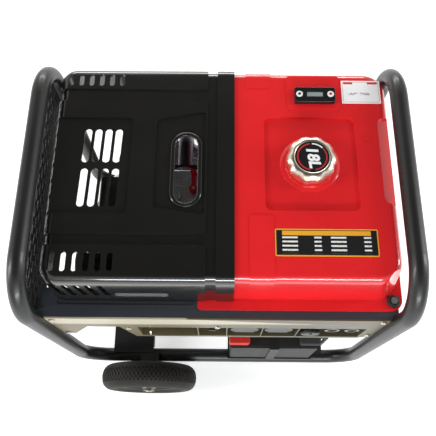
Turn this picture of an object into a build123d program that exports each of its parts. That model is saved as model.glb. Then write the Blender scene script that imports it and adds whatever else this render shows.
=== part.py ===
"""Engine driven welder in an open tube frame, in millimetres.

+X runs along the crankshaft from the recoil starter to the alternator, +Y towards the muffler,
+Z up. The origin is on the floor under the middle of the frame. The control panel faces -Y.
"""
from build123d import *
from math import cos, radians, sin
import os

# Driving dimensions -----------------------------------------------------------------------------
# tube frame
frame_length = 690.0
frame_width = 506.0
frame_height = 600.0        # underside of the rails to the top of the hoops
floor_gap = 94.0            # floor to the underside of the rails
tube_d = 32.0
tube_wall = 2.0
hoop_bend = 85.0            # bend radius on the tube's centre line, hoop to post
rail_bend = 70.0            # bend radius on the tube's centre line, post to rail

# wheels, stub axles and standing legs
wheel_d = 230.0
tyre_width = 60.0
rim_d = 136.0
axle_x = -168.0
axle_d = 16.0
bracket_plate = 5.0
leg_y = 205.0
leg_d = 28.0
foot_d = 52.0
foot_height = 30.0

# plates under the engine
sheet = 3.0
fan_member = (-258.0, -160.0)
tail_member = (184.0, 256.0)
member_flange = 22.0
mount_height = 22.0
mount_d = 40.0
mount_y = 95.0
skid_width = 44.0
skid_height = 24.0
skid_span = (-256.0, 270.0)

# engine
crank_height = 139.0        # engine feet to crankshaft axis
crank_d = 40.0
crankcase_x = (-160.0, 30.0)
crankcase_y = (-100.0, 106.0)
crankcase_height = 222.0
cylinder_x = -70.0
cylinder_height = 72.0
head_height = 68.0
fin_thickness = 3.0
fin_pitch = 9.0
shroud_r = 150.0
shroud_front = -240.0
duct_half = 60.0            # half the width of the duct from the fan up to the cylinder
shroud_wall = 2.5
recoil_r = 96.0
recoil_depth = 46.0
rope_eye_r = 5.0
air_cleaner_r = 52.0
air_cleaner_height = 78.0

# alternator
stator_r = 108.0
stator_span = (78.0, 206.0)
rotor_r = 72.0
air_gap = 1.5
end_bell_x = 262.0

# fuel tank and its rails
rail_flat = 54.0            # width of the front tank rail
rail_sheet = 4.0
tank_seat_z = 554.0         # top of the tank rails
tank_top_z = 650.0
tank_sheet = 2.0
tank_x = (-2.0, 325.0)      # tank body at its flange
tank_y = (-197.0, 236.0)
tank_lean = 11.0            # how far each wall leans in on its way up
tank_depth = 54.0           # lower shell below the seam
lower_x = (30.0, 305.0)
corner_r = 40.0             # tank's corners at the hoop
hidden_corner_r = 14.0      # tank's corners under the cover
flange_x = (-6.0, 334.0)
flange_y = (-217.0, 245.0)
ear_size = (30.0, 40.0)     # ears on the left of the flange that take the left bolts
filler_x = 165.0
filler_y = 32.0
filler_r = 28.0
neck_wall = 5.0
neck_height = 8.0
dish_size = (165.0, 185.0)
dish_depth = 6.0
gauge_pad = 2.0             # height of the pad under the gauge
cap_r = 46.5
cap_lift = 1.5              # gap between the neck and the cap's skirt, filled by the gasket
cap_height = 23.5
cap_wall = 3.0
cap_stem_r = 7.0

# top cover over the engine
cover_x = (-306.0, 29.0)
cover_gap = 2.5             # clearance between the cover and the tank
cover_wall = 2.5
cover_top_z = 655.0
vent_width = 13.0
edge_vent_width = 9.6
port_size = (42.0, 124.0)   # opening over the rocker cover
port_centre = (-59.0, 20.0)

# perforated guard at the recoil end
guard_height = 158.0
guard_width = 436.0
guard_sheet = 2.0
guard_slot = (24.0, 6.0)

# control panel
panel_sheet = 3.0
band_height = 76.0          # name band across the whole front
panel_bottom_z = 372.0
panel_left = -180.0         # left end of the deep part
controls_z = 431.0
box_depth = 80.0
control_recess = 20.0       # how far the controls sit behind the panel's front
control_tray_x = (-154.0, 287.0)
control_tray_z = (386.0, 474.0)
tray_wall = 2.0
divider_x = (-38.5, 18.5, 88.0, 158.5)
box_wall = 1.5
socket_r = 22.0
dial_shaft_r = 5.0
key_plug_r = 6.5
lever_pin_r = 2.0
weld_bore_r = 6.5
weld_bore_depth = 26.0

# battery
battery_x = (28.0, 223.0)
battery_depth = 126.0
battery_height = 164.0
battery_front = -246.0
boot_half = 23.0            # half the width of a terminal's rubber boot

# general clearances
running = 0.05              # radial clearance of a turning fit
free_gap = 1.0              # clearance between parts that move past each other

# Worked out from the driving dimensions ------------------------------------------------------------
tube_r = tube_d / 2
hoop_x = frame_length / 2 - tube_r
post_y = frame_width / 2 - tube_r
rail_z = floor_gap + tube_r
rail_top = floor_gap + tube_d
hoop_z = floor_gap + frame_height - tube_r
inner_x = hoop_x - tube_r
member_top = rail_top + sheet
skid_z = member_top + mount_height
engine_z = skid_z + skid_height
crank_z = engine_z + crank_height
crankcase_top = engine_z + crankcase_height
head_z = crankcase_top + cylinder_height
rocker_z = head_z + head_height
wheel_r = wheel_d / 2
axle_r = axle_d / 2
bracket_face = -frame_width / 2 - bracket_plate
wheel_y = bracket_face - 6.0 - tyre_width / 2
hub_half = tyre_width / 2 - 8
panel_y = -post_y + 6.0     # back of the control panel
panel_face = panel_y - panel_sheet
control_face = panel_face + control_recess
control_back = control_face + panel_sheet
panel_top_z = tank_seat_z
band_bottom_z = panel_top_z - band_height
seam_z = tank_seat_z + tank_sheet
flange_top = seam_z + tank_sheet
dish_z = tank_top_z - dish_depth
neck_r = filler_r + neck_wall
neck_top = dish_z + neck_height
cap_z = neck_top + cap_lift
cap_under = cap_z + cap_height - cap_wall
tray_z = member_top
tank_rail_back = tank_y[1] - 14     # near edge of the rear tank rail
battery_back = battery_front + battery_depth
battery_top = tray_z + battery_height + sheet
fan_mount_x = sum(fan_member) / 2
tail_mount_x = sum(tail_member) / 2


# Helpers -----------------------------------------------------------------------------------------
def block(x, y, z):
    """A box from three (low, high) pairs."""
    size = [high - low for low, high in (x, y, z)]
    middle = [(high + low) / 2 for low, high in (x, y, z)]
    return Pos(*middle) * Box(*size)


def rod_x(r, x0, x1, y, z):
    """A cylinder along X."""
    return Pos((x0 + x1) / 2, y, z) * Rot(0, 90, 0) * Cylinder(r, abs(x1 - x0))


def rod_y(r, y0, y1, x, z):
    """A cylinder along Y."""
    return Pos(x, (y0 + y1) / 2, z) * Rot(90, 0, 0) * Cylinder(r, abs(y1 - y0))


def rod_z(r, z0, z1, x, y):
    """A cylinder along Z."""
    return Pos(x, y, (z0 + z1) / 2) * Cylinder(r, abs(z1 - z0))


def nut_y(across, y0, y1, x, z):
    """A hexagonal nut or bolt head with its axis along Y."""
    hexagon = Plane.XZ.offset(-max(y0, y1)) * Pos(x, z) * RegularPolygon(across / 2, 6, major_radius=False)
    return extrude(hexagon, amount=abs(y1 - y0))


def nut_z(across, z0, z1, x, y):
    """A hexagonal nut or bolt head with its axis along Z."""
    hexagon = Plane.XY.offset(z0) * Pos(x, y) * RegularPolygon(across / 2, 6, major_radius=False)
    return extrude(hexagon, amount=z1 - z0)


def turned_y(points, x, y, z):
    """A ring turned about an axis along Y: points are (radius, y) pairs."""
    face = make_face(Polyline(*[(r, 0, -v) for r, v in points], close=True))
    ring = revolve(face, axis=Axis.Z, revolution_arc=360)
    return Pos(x, y, z) * Rot(90, 0, 0) * ring


def turned_z(points, x, y, z):
    """A ring turned about an axis along Z: points are (radius, z) pairs."""
    face = make_face(Polyline(*[(r, 0, v) for r, v in points], close=True))
    return Pos(x, y, z) * revolve(face, axis=Axis.Z, revolution_arc=360)


def turned_x(points, x, y, z):
    """A ring turned about an axis along X: points are (radius, x) pairs."""
    face = make_face(Polyline(*[(r, 0, v) for r, v in points], close=True))
    return Pos(x, y, z) * Rot(0, 90, 0) * revolve(face, axis=Axis.Z, revolution_arc=360)


def pipe(points, radii, r, wall=None):
    """A round pipe along straight runs joined by arcs."""
    path = FilletPolyline(*points, radius=radii)
    section = Circle(r) if wall is None else Circle(r) - Circle(r - wall)
    return sweep(Plane(origin=path @ 0, z_dir=path % 0) * section, path=path)


def both_sides(make):
    """The pieces that make() gives for the front and for the rear."""
    return [make(-1), make(1)]


def write(name, pieces):
    """One STEP file for a node, from one solid or a list of separate solids."""
    pieces = pieces if isinstance(pieces, (list, tuple)) else [pieces]
    solids = [solid for piece in pieces for solid in piece.solids()]
    node = Compound(children=solids) if len(solids) > 1 else solids[0]
    node.label = name
    export_step(node, f"parts/{name}.step")


# Frame -------------------------------------------------------------------------------------------
def frame_tube(side):
    """One bent tube: half of the front rail, the hoop over the end, half of the rear rail."""
    corners = [
        (0, -post_y, rail_z),
        (side * hoop_x, -post_y, rail_z),
        (side * hoop_x, -post_y, hoop_z),
        (side * hoop_x, post_y, hoop_z),
        (side * hoop_x, post_y, rail_z),
        (0, post_y, rail_z),
    ]
    return pipe(corners, [rail_bend, hoop_bend, hoop_bend, rail_bend], tube_r, tube_wall)


def crossmember(x_span):
    """A hat plate that lies across both rails, with a flange down each edge."""
    reach = post_y - 3
    inside = post_y - tube_r - 3
    body = block(x_span, (-reach, reach), (rail_top, member_top))
    for edge in (x_span[0] + sheet / 2, x_span[1] - sheet / 2):
        flange_span = (edge - sheet / 2, edge + sheet / 2)
        body += block(flange_span, (-inside, inside), (rail_top - member_flange, rail_top))
    centre_slot = (x_span[1] - x_span[0]) / 2
    middle = sum(x_span) / 2
    window = Plane.XY.offset(rail_top) * Pos(middle, 0) * SlotOverall(120, centre_slot * 0.6, rotation=90)
    return body - extrude(window, amount=sheet)


def axle_bracket(side):
    """A bent plate over the rail that carries a stub axle."""
    outer = side * -bracket_face
    rail_side = side * (frame_width / 2)
    y_plate = tuple(sorted((outer, rail_side)))
    y_lip = tuple(sorted((outer, side * (post_y - 2))))
    corners = [(-30, floor_gap), (30, floor_gap), (22, rail_top + bracket_plate),
               (-22, rail_top + bracket_plate)]
    outline = make_face(Polyline(*[(axle_x + x, y_plate[0], z) for x, z in corners], close=True))
    plate = extrude(outline, amount=bracket_plate, dir=(0, 1, 0))
    lip = block((axle_x - 22, axle_x + 22), y_lip, (rail_top, rail_top + bracket_plate))
    return plate + lip


def axle_stub(side):
    """A stub axle welded to its bracket, with the washer and nut that keep the wheel on."""
    hub_end = side * -(wheel_y - hub_half)
    start = side * -bracket_face
    stub = rod_y(axle_r, start, hub_end + side * 10.5, axle_x, wheel_r)
    stub += rod_y(axle_r + 6, start, side * (-wheel_y - hub_half - free_gap), axle_x, wheel_r)
    washer = rod_y(axle_r + 8, hub_end + side * free_gap / 2, hub_end + side * 2.5, axle_x, wheel_r)
    nut = nut_y(24, hub_end + side * 2.5, hub_end + side * 9, axle_x, wheel_r)
    bore = rod_y(axle_r, start, hub_end + side * 20, axle_x, wheel_r)
    return [stub, washer - bore, nut - bore]


def wheel(side):
    """The rim and tyre of one wheel, on the stub axle's centre line."""
    half = tyre_width / 2
    rim_r = rim_d / 2
    hub_r = axle_r + running
    place = (axle_x, side * -wheel_y, wheel_r)
    rim = turned_y([(hub_r, -hub_half), (17, -hub_half), (19, -hub_half + 4), (19, -5), (rim_r - 9, -3),
                    (rim_r - 9, -half + 6), (rim_r + 4, -half + 6), (rim_r + 4, -half + 10),
                    (rim_r, -half + 12),
                    (rim_r, half - 12), (rim_r + 4, half - 10), (rim_r + 4, half - 6), (rim_r - 9, half - 6),
                    (rim_r - 9, 3), (19, 5), (19, hub_half - 4), (17, hub_half), (hub_r, hub_half)], *place)
    bead_in, bead_out = half - 12, half - 10
    profile = [(rim_r, -bead_in), (rim_r + 4, -bead_out), (rim_r + 4, -half + 6), (rim_r + 8, -half + 3),
               (wheel_r - 26, -half), (wheel_r - 12, -half + 4), (wheel_r - 3, -half + 12),
               (wheel_r, -half + 20)]
    tyre = turned_y(profile + [(r, -y) for r, y in reversed(profile)], *place)
    for angle in range(0, 360, 72):
        hole_x = axle_x + 39 * cos(radians(angle))
        hole_z = wheel_r + 39 * sin(radians(angle))
        rim -= rod_y(9, place[1] - half, place[1] + half, hole_x, hole_z)
    return rim, tyre


def stand_leg(side):
    """A leg welded under the tail crossmember, and the rubber foot pushed on to it."""
    x, y = tail_mount_x, side * leg_y
    sunk = 8.0
    leg = rod_z(leg_d / 2, sunk, rail_top, x, y)
    foot = turned_z([(0, 0), (foot_d / 2, 0), (foot_d / 2, 6), (foot_d / 2 - 5, foot_height),
                     (leg_d / 2, foot_height), (leg_d / 2, sunk), (0, sunk)], x, y, 0)
    return leg, foot


# Engine supports ---------------------------------------------------------------------------------
def engine_skid():
    """Two box channels along the engine and alternator, tied together."""
    wall = sheet
    body = None
    for side in (-1, 1):
        y_mid = side * mount_y
        y_span = (y_mid - skid_width / 2, y_mid + skid_width / 2)
        tube = block(skid_span, y_span, (skid_z, engine_z))
        y_in = (y_span[0] + wall, y_span[1] - wall)
        tube -= block(skid_span, y_in, (skid_z + wall, engine_z - wall))
        body = tube if body is None else body + tube
    inner = mount_y - skid_width / 2
    for x in (-210.0, -70.0, 60.0, 236.0):
        body += block((x - 18, x + 18), (-inner, inner), (skid_z, skid_z + wall))
    return body


def rubber_mounts():
    """Four waisted rubber blocks between the crossmembers and the skid."""
    r = mount_d / 2
    profile = [(0, 0), (r, 0), (r, 4), (r - 4, mount_height / 2), (r, mount_height - 4), (r, mount_height),
               (0, mount_height)]
    return [turned_z(profile, x, y, member_top) for x in (fan_mount_x, tail_mount_x)
            for y in (-mount_y, mount_y)]


# Engine ------------------------------------------------------------------------------------------
def crankcase():
    """Cast crankcase: its feet, the round flange that carries the fan shroud, and the crank's bores."""
    z_span = (engine_z, crankcase_top)
    body = block(crankcase_x, crankcase_y, z_span)
    body = fillet(body.edges().filter_by(Axis.X), 16)
    body += block((crankcase_x[0] + 8, crankcase_x[1] - 8), (-mount_y - 20, mount_y + 20),
                  (engine_z, engine_z + 14))
    flange_r = shroud_r - shroud_wall
    body += rod_x(flange_r, crankcase_x[0], crankcase_x[0] + 6, 0, crank_z) - block(
        (-400, 400), (-400, 400), (0, engine_z + 10))
    cover_y = crankcase_y[0]
    side_cover = block((-130, 0), (cover_y - 10, cover_y), (engine_z + 46, engine_z + 176))
    body += fillet(side_cover.edges().filter_by(Axis.Y), 28)
    for x, z in ((-118, 58), (-118, 164), (-12, 58), (-12, 164), (-65, 54), (-65, 170)):
        body += rod_y(6, cover_y - 16, cover_y - 9, x, engine_z + z)
    for x in (-110, -70, -30):
        body += block((x - 3, x + 3), (crankcase_y[1], crankcase_y[1] + 8), (engine_z + 14, engine_z + 150))
    body += rod_y(13, cover_y - 24, cover_y, 14, engine_z + 60)
    cavity = rod_x(62, crankcase_x[0] + 18, crankcase_x[1] - 18, 0, crank_z)
    shaft_bore = rod_x(crank_d / 2 + running, crankcase_x[0] - 5, crankcase_x[1] + 5, 0, crank_z)
    return body - cavity - shaft_bore


def fin_stack(x_span, y_span, z0, count, core):
    """Cooling fins around a core, from z0 upwards."""
    body = core
    for i in range(count):
        z = z0 + i * fin_pitch
        fin = block(x_span, y_span, (z, z + fin_thickness))
        body += fillet(fin.edges().filter_by(Axis.Z), 14)
    return body


def cylinder():
    core = rod_z(54, crankcase_top, head_z, cylinder_x, 0)
    base = block((cylinder_x - 62, cylinder_x + 62), (-62, 62), (crankcase_top, crankcase_top + 5))
    count = int((cylinder_height - 8) // fin_pitch)
    fins = fin_stack((cylinder_x - 70, cylinder_x + 70), (-72, 72), crankcase_top + 10, count, core + base)
    return fins - rod_z(43, crankcase_top - 1, head_z + 1, cylinder_x, 0)


def cylinder_head():
    core = block((cylinder_x - 55, cylinder_x + 55), (-58, 58), (head_z, rocker_z))
    core = fillet(core.edges().filter_by(Axis.Z), 12)
    count = int((head_height - 12) // fin_pitch)
    body = fin_stack((cylinder_x - 70, cylinder_x + 70), (-76, 76), head_z + 6, count, core)
    body += rod_y(24, 58, 82, cylinder_x, head_z + 34)
    return body + rod_y(22, -82, -58, cylinder_x - 20, head_z + 36)


def rocker_cover():
    """The cast cover on the head, with its bolts, breather and filler boss."""
    x_span, y_span = (cylinder_x - 50, cylinder_x + 50), (-20, 56)
    body = block(x_span, y_span, (rocker_z, rocker_z + 34))
    body = fillet(body.edges().filter_by(Axis.Z), 14)
    body = fillet(body.faces().sort_by(Axis.Z)[-1].edges(), 7)
    body += block((x_span[0] - 4, x_span[1] + 4), (y_span[0] - 4, y_span[1] + 4), (rocker_z, rocker_z + 5))
    for x in (x_span[0] + 12, x_span[1] - 12):
        body += nut_z(11, rocker_z + 30, rocker_z + 40, x, 18)
    x, y = lever_pivot()
    pin = rod_z(lever_pin_r + 1, rocker_z + 30, rocker_z + 45, x, y)
    return body + pin + rod_z(13, rocker_z + 30, rocker_z + 42, cylinder_x - 14, -2)


def lever_pivot():
    """Centre of the decompression lever's pin."""
    return cylinder_x + 22, 12.0


def shroud_outline(r, half_duct, top):
    """The fan's circle joined to the duct, looking along X: sketch x is Y, sketch y is Z."""
    duct = Pos(0, (top - crank_z) / 2) * Rectangle(2 * half_duct, top - crank_z)
    return Circle(r) + duct


def fan_shroud():
    """The pressed steel housing round the flywheel fan, with its duct up to the cylinder."""
    plane = Plane(origin=(shroud_front, 0, crank_z), x_dir=(0, 1, 0), z_dir=(1, 0, 0))
    depth = crankcase_x[0] - shroud_front
    top = rocker_z - 12
    outer = extrude(plane * shroud_outline(shroud_r, duct_half, top), amount=depth)
    outer = fillet(outer.edges().group_by(Axis.X)[0], 9)
    inner_outline = shroud_outline(shroud_r - shroud_wall, duct_half - shroud_wall, top - shroud_wall)
    inner = extrude(plane.offset(shroud_wall) * inner_outline, amount=depth)
    feet = block((-400, 400), (-400, 400), (0, engine_z + 1))
    inlet = rod_x(recoil_r - 8, shroud_front - 1, shroud_front + 5, 0, crank_z)
    return outer - inner - inlet - feet


def recoil_cover():
    """The domed, slotted cover of the recoil starter, with the rope's exit."""
    r, w, d = recoil_r, shroud_wall, recoil_depth
    shell = turned_x([(r - w, 0), (r + 8, 0), (r + 8, -w), (r, -w), (r - 6, -d + 12), (r - 20, -d), (0, -d),
                      (0, -d + w), (r - 21, -d + w), (r - 6 - w, -d + 13),
                      (r - w, -w)], shroud_front, 0, crank_z)
    slots = []
    for angle in range(0, 360, 30):
        slot = Pos(shroud_front - d, 0, crank_z) * Rot(angle, 0, 0) * Pos(0, 56, 0) * Box(3 * w + 6, 34, 8)
        slots.append(slot)
    shell = shell - slots
    y, z = rope_exit()
    boss = rod_x(15, shroud_front - d - 3, shroud_front - d + w, y, z)
    return shell + boss - rod_x(rope_eye_r, shroud_front - d - 4, shroud_front - d + 5, y, z)


def rope_exit():
    """Where the starter rope leaves the recoil cover."""
    reach = recoil_r - 30
    return -reach * cos(radians(40)), crank_z + reach * sin(radians(40))


def recoil_handle():
    """The T grip on the starter rope, parked against the cover."""
    y, z = rope_exit()
    x = shroud_front - recoil_depth - 3
    grip = rod_y(10, y - 42, y + 42, x - 18, z)
    grip = fillet(grip.edges(), 7)
    return grip + rod_x(9, x - 20, x - 0.5, y, z) + rod_x(rope_eye_r - running, x - 1, x + 4, y, z)


def crankshaft():
    """Crankshaft: journals, two webs and the crank pin."""
    web = 16.0
    pin_x = (cylinder_x - 15, cylinder_x + 15)
    throw = 34.0
    left = rod_x(crank_d / 2, shroud_front + 14, pin_x[0] - web, 0, crank_z)
    right = rod_x(crank_d / 2, pin_x[1] + web, crankcase_x[1] + 12, 0, crank_z)
    webs = [rod_x(56, pin_x[0] - web, pin_x[0], 0, crank_z), rod_x(56, pin_x[1], pin_x[1] + web, 0, crank_z)]
    pin = rod_x(16, pin_x[0], pin_x[1], 0, crank_z - throw)
    return left + right + webs[0] + webs[1] + pin


def flywheel():
    """Flywheel with its fan blades and the cup that the recoil starter catches."""
    x0 = shroud_front + 20
    disc = rod_x(118, x0 + 22, x0 + 38, 0, crank_z)
    cup = rod_x(58, x0 - 4, x0 + 22, 0, crank_z) - rod_x(54, x0 - 5, x0 + 12, 0, crank_z)
    body = disc + cup
    for angle in range(0, 360, 24):
        blade = Pos(x0 + 13, 0, crank_z) * Rot(angle, 0, 0) * Pos(0, 92, 0) * Rot(0, 0, 0) * Box(20, 46, 3)
        body += blade
    return body - rod_x(crank_d / 2, x0 - 10, x0 + 50, 0, crank_z)


def air_cleaner():
    """The round air cleaner can and its inlet elbow to the cylinder head."""
    x = shroud_front + 25
    y = panel_y + rail_flat + air_cleaner_r + 5
    port_z = head_z + 36
    z1 = port_z + 24
    can = rod_z(air_cleaner_r, z1 - air_cleaner_height, z1, x, y)
    can = fillet(can.edges().sort_by(Axis.Z)[0], 8)
    elbow = pipe([(x, y, port_z), (cylinder_x - 20, y, port_z), (cylinder_x - 20, -82, port_z)], [36], 20)
    lid = turned_z([(0, 0), (air_cleaner_r + 3, 0), (air_cleaner_r + 3, 10), (air_cleaner_r - 8, 18),
                    (0, 18)], x, y, z1)
    wing = block((x - 18, x + 18), (y - 2.5, y + 2.5), (z1 + 20, z1 + 32)) + rod_z(6, z1 + 18, z1 + 26, x, y)
    wing = wing - block((x - 7, x + 7), (y - 4, y + 4), (z1 + 27, z1 + 40))
    return can + elbow, [lid, wing]


def muffler_line():
    """Muffler height and centre line beside the alternator, under the tank."""
    return 180.0, crank_z + 68


def exhaust_pipe():
    y, z = muffler_line()
    port_z = head_z + 34
    points = [(cylinder_x, 82, port_z), (cylinder_x, y, port_z), (cylinder_x, y, z + 14), (14, y, z + 14)]
    flange = block((cylinder_x - 34, cylinder_x + 34), (82, 88), (port_z - 22, port_z + 22))
    flange = fillet(flange.edges().filter_by(Axis.Y), 10)
    return pipe(points, [44, 44], 15) + flange


def muffler():
    """An oval canister with a rolled seam at each end, its bracket and its tail pipe."""
    y, z = muffler_line()
    plane = Plane(origin=(14, y, z), x_dir=(0, 1, 0), z_dir=(1, 0, 0))
    length = 244.0
    body = extrude(plane * SlotOverall(112, 70, rotation=90), amount=length)
    body = fillet(body.edges().group_by(Axis.X)[0], 8)
    body = fillet(body.edges().group_by(Axis.X)[-1], 8)
    for x in (14 + 12, 14 + length - 18):
        body += extrude(plane.offset(x - 14) * SlotOverall(118, 76, rotation=90), amount=6)
    end_x = 14 + length
    body += rod_x(13, end_x - 1, end_x + 26, y, z - 28) - rod_x(10, end_x + 2, end_x + 30, y, z - 28)
    skid_side = mount_y + skid_width / 2
    bracket = block((120, 160), (skid_side, skid_side + sheet), (skid_z + 4, z + 6))
    return body + bracket + block((120, 160), (skid_side, y - 34), (z, z + 6))


def starter_motor():
    """Electric starter along the front of the crankcase, with its solenoid on top."""
    y, z = crankcase_y[0] - 47, engine_z + 56
    x0 = crankcase_x[0] + 6
    motor = fillet(rod_x(30, x0 + 6, x0 + 22, y, z).edges(), 2) + rod_x(29, x0 + 20, -20, y, z)
    solenoid = rod_x(17, x0 + 22, -50, y - 6, z + 44)
    nose = block((x0, x0 + 8), (y - 30, crankcase_y[0]), (z - 26, z + 58))
    return motor + solenoid + nose


def injection_pump():
    """Fuel injection pump on the crankcase's side cover, with the pipe up to the head."""
    y = crankcase_y[0] - 10
    z = engine_z + 186
    pump = block((-56, -16), (y - 26, crankcase_y[0]), (z, z + 30)) + rod_z(9, z + 29, z + 48, -36, y - 13)
    line = pipe([(-36, y - 13, z + 46), (-36, y - 13, head_z + 62), (-36, -58, head_z + 62)], [16], 3.2)
    return pump + line


# Alternator --------------------------------------------------------------------------------------
def cooling_windows(x_span, r, count):
    """Radial windows through a bell."""
    cuts = []
    for i in range(count):
        window = Pos(sum(x_span) / 2, 0, crank_z) * Rot(360 / count * (i + 0.5), 0, 0) * Pos(0, r, 0)
        cuts.append(window * Box(x_span[1] - x_span[0], 60, 22))
    return cuts


def alternator_adapter():
    """Cast bell between the crankcase and the stator."""
    x0, x1 = crankcase_x[1], stator_span[0]
    shell = turned_x([(92, x0), (96, x0), (stator_r + 6, x0 + 14), (stator_r + 6, x1), (rotor_r + 14, x1),
                      (rotor_r + 14, x1 - 6), (92, x0 + 10)], 0, 0, crank_z)
    return shell - cooling_windows((x0 + 14, x1 - 8), stator_r, 12)


def alternator_stator():
    """Laminated stator ring with cooling ribs, its windings' ends and four through bolts."""
    x0, x1 = stator_span
    body = rod_x(stator_r, x0, x1, 0, crank_z)
    for angle in range(0, 360, 15):
        turn = Pos((x0 + x1) / 2, 0, crank_z) * Rot(angle, 0, 0)
        body += turn * Pos(0, stator_r + 0.5, 0) * Box(x1 - x0 - 12, 7, 5)
    return body - rod_x(rotor_r + air_gap, x0 - 1, x1 + 1, 0, crank_z)


def alternator_end_bell():
    """Cast bell with the rear bearing's seat, the feet on the skid and the outlet box."""
    x0, x1 = stator_span[1], end_bell_x
    shell = turned_x([(rotor_r + 14, x0), (stator_r + 6, x0), (stator_r + 6, x0 + 22), (88, x1),
                      (16 + running, x1),
                      (16 + running, x1 - 14), (80, x1 - 12), (rotor_r + 14, x0 + 12)], 0, 0, crank_z)
    shell = shell - cooling_windows((x0 + 7, x0 + 19), stator_r, 12)
    slots = [Pos(x1, 0, crank_z) * Rot(angle, 0, 0) * Pos(0, 54, 0) * Box(60, 36, 8)
             for angle in range(15, 360, 30)]
    shell = shell - slots
    feet = block((x0 + 2, x0 + 20), (-mount_y - 18, mount_y + 18), (engine_z, engine_z + 16))
    for side in (-1, 1):
        feet += block((x0 + 4, x0 + 18), (side * 84 - 8, side * 84 + 8), (engine_z, crank_z - 72))
    hollow = rod_x(rotor_r + 14, x0 - 1, x0 + 30, 0, crank_z)
    return shell + (feet - hollow)


def alternator_rotor():
    """Rotor core on its shaft, with the fan at the engine end."""
    start = crankcase_x[1] + 12
    shaft = rod_x(16, start, end_bell_x + 6, 0, crank_z)
    core = rod_x(rotor_r, stator_span[0] + 8, stator_span[1] - 8, 0, crank_z)
    fan = rod_x(rotor_r + 8, start + 4, start + 8, 0, crank_z)
    body = shaft + core + fan
    for angle in range(0, 360, 30):
        body += Pos(start + 15, 0, crank_z) * Rot(angle, 0, 0) * Pos(0, 58, 0) * Box(16, 36, 3)
    return body


# Fuel tank ---------------------------------------------------------------------------------------
def tank_block(shrink, z0, z1):
    """The tank body's block with leaning walls and rounded corners, drawn in by shrink on every side."""
    outlines = []
    for z, inset in ((z0, shrink), (z1, shrink + tank_lean)):
        outline = Rectangle(tank_x[1] - tank_x[0] - 2 * inset, tank_y[1] - tank_y[0] - 2 * inset)
        outline = fillet(outline.vertices().group_by(Axis.X)[-1], corner_r - shrink)
        outline = fillet(outline.vertices().group_by(Axis.X)[0], hidden_corner_r - shrink)
        outlines.append(Plane.XY.offset(z) * Pos(sum(tank_x) / 2, sum(tank_y) / 2) * outline)
    return loft(outlines)


def ear_scallop(shrink):
    """The hollow in the tank's front corner that clears its bolt."""
    return rod_z(40 + shrink, seam_z - 100, tank_top_z + 10, tank_x[1] + 2, tank_y[0] - 4)


def tank_shape(shrink):
    """Upper shell's solid shape, drawn in by shrink."""
    body = tank_block(shrink, seam_z, tank_top_z - shrink)
    body = fillet(body.faces().sort_by(Axis.Z)[-1].edges(), 11 - shrink / 2) - ear_scallop(shrink)
    dish_length, dish_width = [size + 2 * shrink for size in dish_size]
    dish = Pos(filler_x, filler_y, dish_z - shrink + 10) * Box(dish_length, dish_width, 20)
    return body - fillet(dish.edges().filter_by(Axis.Z), 12)


def flange_plate(z0, opening):
    """The seam flange at one level, with the opening left by the shell's walls."""
    x_size = flange_x[1] - flange_x[0]
    y_size = flange_y[1] - flange_y[0]
    outline = Pos(sum(flange_x) / 2, sum(flange_y) / 2) * RectangleRounded(x_size, y_size, 22)
    ear_x = flange_x[0] + (30 - ear_size[0]) / 2
    for y in (flange_y[0] + ear_size[1] / 2, flange_y[1] - ear_size[1] / 2):
        outline += Pos(ear_x, y) * RectangleRounded(ear_size[0] + 30, ear_size[1], 8)
    for side in (-1, 1):
        outline -= Pos(hoop_x, side * post_y) * Circle(tube_r + 3)
    return extrude(Plane.XY.offset(z0) * outline, amount=tank_sheet) - opening


def fuel_tank_upper():
    """Pressed upper shell with the seam flange, and the filler neck pressed into its hole."""
    outer, inner = tank_shape(0), tank_shape(tank_sheet)
    shell = outer - inner + flange_plate(seam_z, inner)
    gauge_x, gauge_y = gauge_place()
    pad = block((gauge_x - 50, gauge_x + 50), (gauge_y - 24, gauge_y + 50),
                (tank_top_z - 1, tank_top_z + gauge_pad))
    shell += fillet(pad.edges().filter_by(Axis.Z), 7)
    shell -= rod_z(neck_r, dish_z - 10, dish_z + 5, filler_x, filler_y)
    neck = rod_z(neck_r, dish_z - 4, neck_top, filler_x, filler_y)
    neck -= rod_z(filler_r, dish_z - 10, neck_top + 5, filler_x, filler_y)
    return shell - tank_bolt_holes(), neck


def fuel_tank_lower():
    """Pressed lower shell with its half of the seam flange."""
    z0 = tank_seat_z - tank_depth
    y_low = panel_y + rail_flat + free_gap
    y_high = tank_rail_back - free_gap

    def shape(shrink):
        place = Plane.XY.offset(z0 + shrink) * Pos(sum(lower_x) / 2, (y_low + y_high) / 2)
        x_size = lower_x[1] - lower_x[0] - 2 * shrink
        y_size = y_high - y_low - 2 * shrink
        return extrude(place * RectangleRounded(x_size, y_size, 34 - shrink), amount=seam_z - z0 - shrink)

    outer, inner = shape(0), shape(tank_sheet)
    outer = fillet(outer.faces().sort_by(Axis.Z)[0].edges(), 12)
    inner = fillet(inner.faces().sort_by(Axis.Z)[0].edges(), 12 - tank_sheet)
    shell = outer - inner + flange_plate(tank_seat_z, shape(tank_sheet))
    return shell - tank_bolt_holes()


def tank_bolt_places():
    """Centres of the four bolts through the seam flange."""
    right, left = flange_x[1] - 17, flange_x[0] - ear_size[0] + 13
    front_left = panel_y + rail_flat - rail_sheet - 5
    rear = flange_y[1] - 6
    rear_left = tank_rail_back + rail_sheet + 5
    return [(right, flange_y[0] + 18), (left, front_left), (right - 13, rear), (left, rear_left)]


def tank_bolt_holes():
    return [rod_z(4.2, tank_seat_z - 20, flange_top + 1, x, y) for x, y in tank_bolt_places()]


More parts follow.
